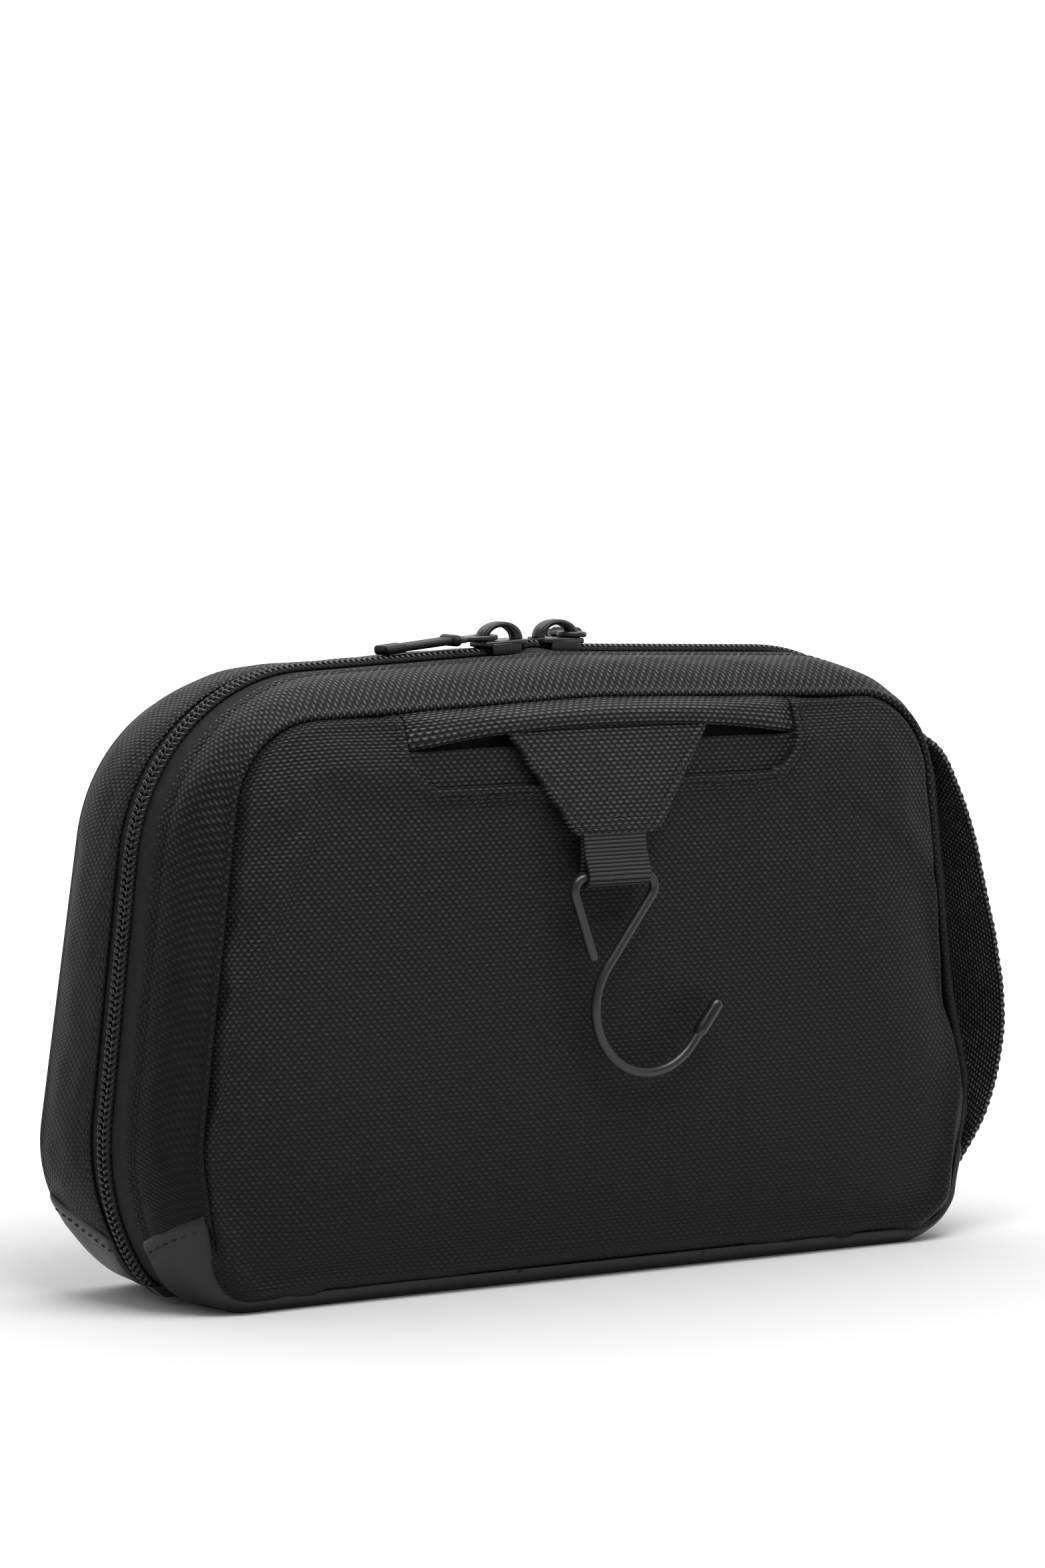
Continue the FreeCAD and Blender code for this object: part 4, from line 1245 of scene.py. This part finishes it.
def bevelled(name, outline, z0, z1, bevel):
    """Metal plate from a closed (x, y) outline with rounded edges."""
    bm = bmesh.new()
    face = bm.faces.new([bm.verts.new((x * MM, y * MM, z0 * MM)) for x, y in outline])
    up = bmesh.ops.extrude_face_region(bm, geom=[face])["geom"]
    top = [v for v in up if isinstance(v, bmesh.types.BMVert)]
    bmesh.ops.translate(bm, verts=top, vec=(0, 0, (z1 - z0) * MM))
    bmesh.ops.recalc_face_normals(bm, faces=bm.faces)
    sharp = [e for e in bm.edges if len(e.link_faces) == 2 and e.calc_face_angle() > 0.6]
    bmesh.ops.bevel(bm, geom=sharp, offset=bevel * MM, segments=3, affect="EDGES", profile=0.5,
                    clamp_overlap=True)
    mesh = bpy.data.meshes.new(name)
    bm.to_mesh(mesh)
    bm.free()
    mesh.shade_smooth()
    return add_object(name, mesh, METAL)


def rounded(w, h, r, cx=0.0, cy=0.0):
    """Outline of a rectangle with rounded corners."""
    out = []
    for sx, sy, a0 in ((1, 1, 0), (-1, 1, 90), (-1, -1, 180), (1, -1, 270)):
        for a in np.radians(a0 + np.linspace(0, 90, 7)):
            out.append((cx + sx * (w / 2 - r) + r * math.cos(a), cy + sy * (h / 2 - r) + r * math.sin(a)))
    return out


def joined(parts, name):
    bpy.ops.object.select_all(action="DESELECT")
    for o in parts:
        o.select_set(True)
    bpy.context.view_layer.objects.active = parts[0]
    bpy.ops.object.join()
    parts[0].name = name
    return parts[0]


def slider(name, nose):
    """Slider body and bail. nose is 1 or -1, the way along X that the slider points."""
    seat, half = SLIDER_SEAT, 7.2
    plan = [(-half, 3.7), (1.0 - half, 4.3), (half - 5.5, 4.9), (half - 2.2, 4.9), (half - 0.5, 4.0),
            (half, 2.6)]
    plan += [(x, -y) for x, y in reversed(plan)]
    plan = [(nose * x, y) for x, y in plan][::nose]
    parts = [bevelled(name + "_plate", plan, seat, seat + 1.5, 0.45),
             bevelled(name + "_under", [(x * 0.9, y * 0.84) for x, y in plan], -2.85, -1.85, 0.3)]
    for side in (-1, 1):
        flange = rounded(9.6, 1.1, 0.5, nose * -0.4, side * 4.35)
        parts.append(bevelled("%s_flange_%d" % (name, side), flange, -0.7, seat + 0.9, 0.4))
    post = rounded(2.6, 0.5, 0.2, nose * (half - 3.0))
    parts.append(bevelled(name + "_post", post, -1.9, seat + 0.3, 0.1))
    block = joined(parts, name + "_slider_block")

    a = np.linspace(0, math.pi, 40)
    foot = seat + 1.3
    outer = stack(7.2 * np.cos(a), foot + 5.2 * np.sin(a) ** 0.9)
    inner = stack(4.4 * np.cos(a), foot + 0.2 + 3.6 * np.sin(a))
    inward = unit(inner - outer)
    chamfer = [(-1.5, 0.35), (-1.15, 0.0), (1.15, 0.0), (1.5, 0.35)]
    rings = [(outer + inward * e, y) for y, e in chamfer] + [(inner - inward * e, y) for y, e in chamfer[::-1]]
    P = [stack(ring[:, 0], y, ring[:, 1]) for ring, y in rings]
    arch = grid(name + "_bail_arch", P, np.zeros((9, 40, 2)), METAL, tube=True)
    close_ends(arch)
    middle = (outer * 0.52 + inner * 0.48)[5:-5]
    rib = tube(name + "_bail_rib", stack(middle[:, 0], -1.5, middle[:, 1]), 0.28, METAL, 8)
    bail = joined([arch, rib], name + "_bail_arch")
    for obj, node in ((block, "_slider_body"), (bail, "_slider_bail")):
        obj.matrix_world = run_matrix(SLIDER_X[name])
        done(obj, name + "_slider", [name + node])


def arc_points(rx, ry, start, stop, n, endpoint=True):
    a = np.radians(np.linspace(start, stop, n, endpoint=endpoint))
    return [(rx * math.cos(t), ry * math.sin(t)) for t in a]


def pull(name, nose, turn, droop):
    """Spoon-shaped link with two holes, and the flat tab that hangs from its end."""
    low, bar = 3.5, 10.4
    mid = low + 0.55
    link = arc_points(4.3, 4.1, 40, 320, 24)
    side = [(5.6, 2.2), (8.0, 4.0), (bar, 4.4), (11.2, 4.0)]
    link += [(x, -y) for x, y in side] + side[::-1]
    plate = bevelled(name + "_link", link, low - 0.15, low + 1.25, 0.45)
    cutters = [bevelled(name + "_hole", arc_points(2.6, 2.6, 0, 360, 24, False), -5, 12, 0.01),
               bevelled(name + "_slot", rounded(2.2, 6.6, 0.5, 8.9), -5, 12, 0.01)]
    for cutter in cutters:
        cut = plate.modifiers.new("cut", "BOOLEAN")
        cut.operation = "DIFFERENCE"
        cut.object = cutter
    graph = bpy.context.evaluated_depsgraph_get()
    mesh = bpy.data.meshes.new_from_object(plate.evaluated_get(graph))
    plate.modifiers.clear()
    plate.data = mesh
    for cutter in cutters:
        bpy.data.objects.remove(cutter)
    place = run_matrix(SLIDER_X[name]) @ moved(-nose * 5.5, 0, 0) @ turned(turn, "Z")
    plate.matrix_world = place
    done(plate, name + "_pull", [name + "_pull_link"])

    x = np.linspace(bar, 33.0, 34)
    path = stack(x, 0.0, mid)
    half = 3.1 + 0.25 * smooth(x, 27.5, 28.2)
    parts = [ribbon(name + "_strap", path, [0, 1.0, 0], half, 1.9, RUBBER),
             ribbon(name + "_strap_end", path[24:], [0, 1.0, 0], 3.4, 2.5, RUBBER),
             tube(name + "_strap_loop", [[bar, -3.0, mid], [bar, 3.0, mid]], 1.55, RUBBER, 18)]
    strap = joined(parts, name + "_strap")
    strap.matrix_world = place @ moved(bar, 0, mid) @ turned(droop, "Y") @ moved(-bar, 0, -mid)
    done(strap, name + "_pull", [name + "_pull_tab"])


slider("left", 1)
slider("right", -1)
pull("left", 1, 178.0, 3.3)
pull("right", -1, 62.0, 3.0)


# ---- stage, light and camera ---------------------------------------------------------------
def soft_light(name, location, target, size, power):
    light = bpy.data.lights.new(name, "AREA")
    light.shape = "RECTANGLE"
    light.size, light.size_y = size
    light.energy = power
    obj = bpy.data.objects.new(name, light)
    obj.location = location
    obj.rotation_euler = (Vector(target) - Vector(location)).to_track_quat("-Z", "Y").to_euler()
    bpy.context.scene.collection.objects.link(obj)
    return obj


def studio():
    white, k = new_material("floor_white")
    k.set(Base_Color=(0.85, 0.85, 0.85, 1), Roughness=0.8, Specular_IOR_Level=0.1)
    half = 4000.0
    corners = [(-half, -half, 0), (half, -half, 0), (half, half, 0), (-half, half, 0)]
    floor = finish_mesh("floor", corners, [(0, 1, 2, 3)], None, white)
    floor.is_shadow_catcher = True
    world = bpy.data.worlds.new("studio")
    world.use_nodes = True
    k = Net(world.node_tree, "Background")
    sky = {0: k.made("ShaderNodeTexCoord", {}, "Generated"), 1: (0.56, 0.78, 0.1)}
    turn = k.made("ShaderNodeVectorMath", sky, "Value", operation="DOT_PRODUCT")
    limits = {"Value": turn, "From Min": -0.55, "From Max": 0.75, "To Min": 0.42, "To Max": 1.12}
    strength = k.made("ShaderNodeMapRange", limits, "Result", interpolation_type="SMOOTHSTEP")
    k.set(Color=(1, 1, 1, 1), Strength=strength)
    bpy.context.scene.world = world
    bpy.context.scene.view_settings.view_transform = "Standard"
    soft_light("top_soft", (-0.03, -0.27, 0.62), (0, -0.02, 0.12), (0.5, 0.3), 4)
    soft_light("back_top", (0.2, 0.5, 1.3), (0, 0, 0.15), (1.4, 1.0), 7)


def camera():
    cam = bpy.data.cameras.new("camera")
    obj = bpy.data.objects.new("camera", cam)
    bpy.context.scene.collection.objects.link(obj)
    azimuth, elevation, distance = math.radians(-35.92), math.radians(4.372), 1.8427
    target = Vector((-0.00265, 0, 0.1333))
    level = math.cos(elevation)
    back = Vector((math.sin(azimuth) * level, -math.cos(azimuth) * level, math.sin(elevation)))
    obj.location = target + back * distance
    obj.rotation_mode = "QUATERNION"
    obj.rotation_quaternion = (-back).to_track_quat("-Z", "Y")
    cam.sensor_width = 36
    cam.lens = 153.9
    cam.clip_start = 0.05
    cam.clip_end = 50
    bpy.context.scene.camera = obj


studio()
camera()
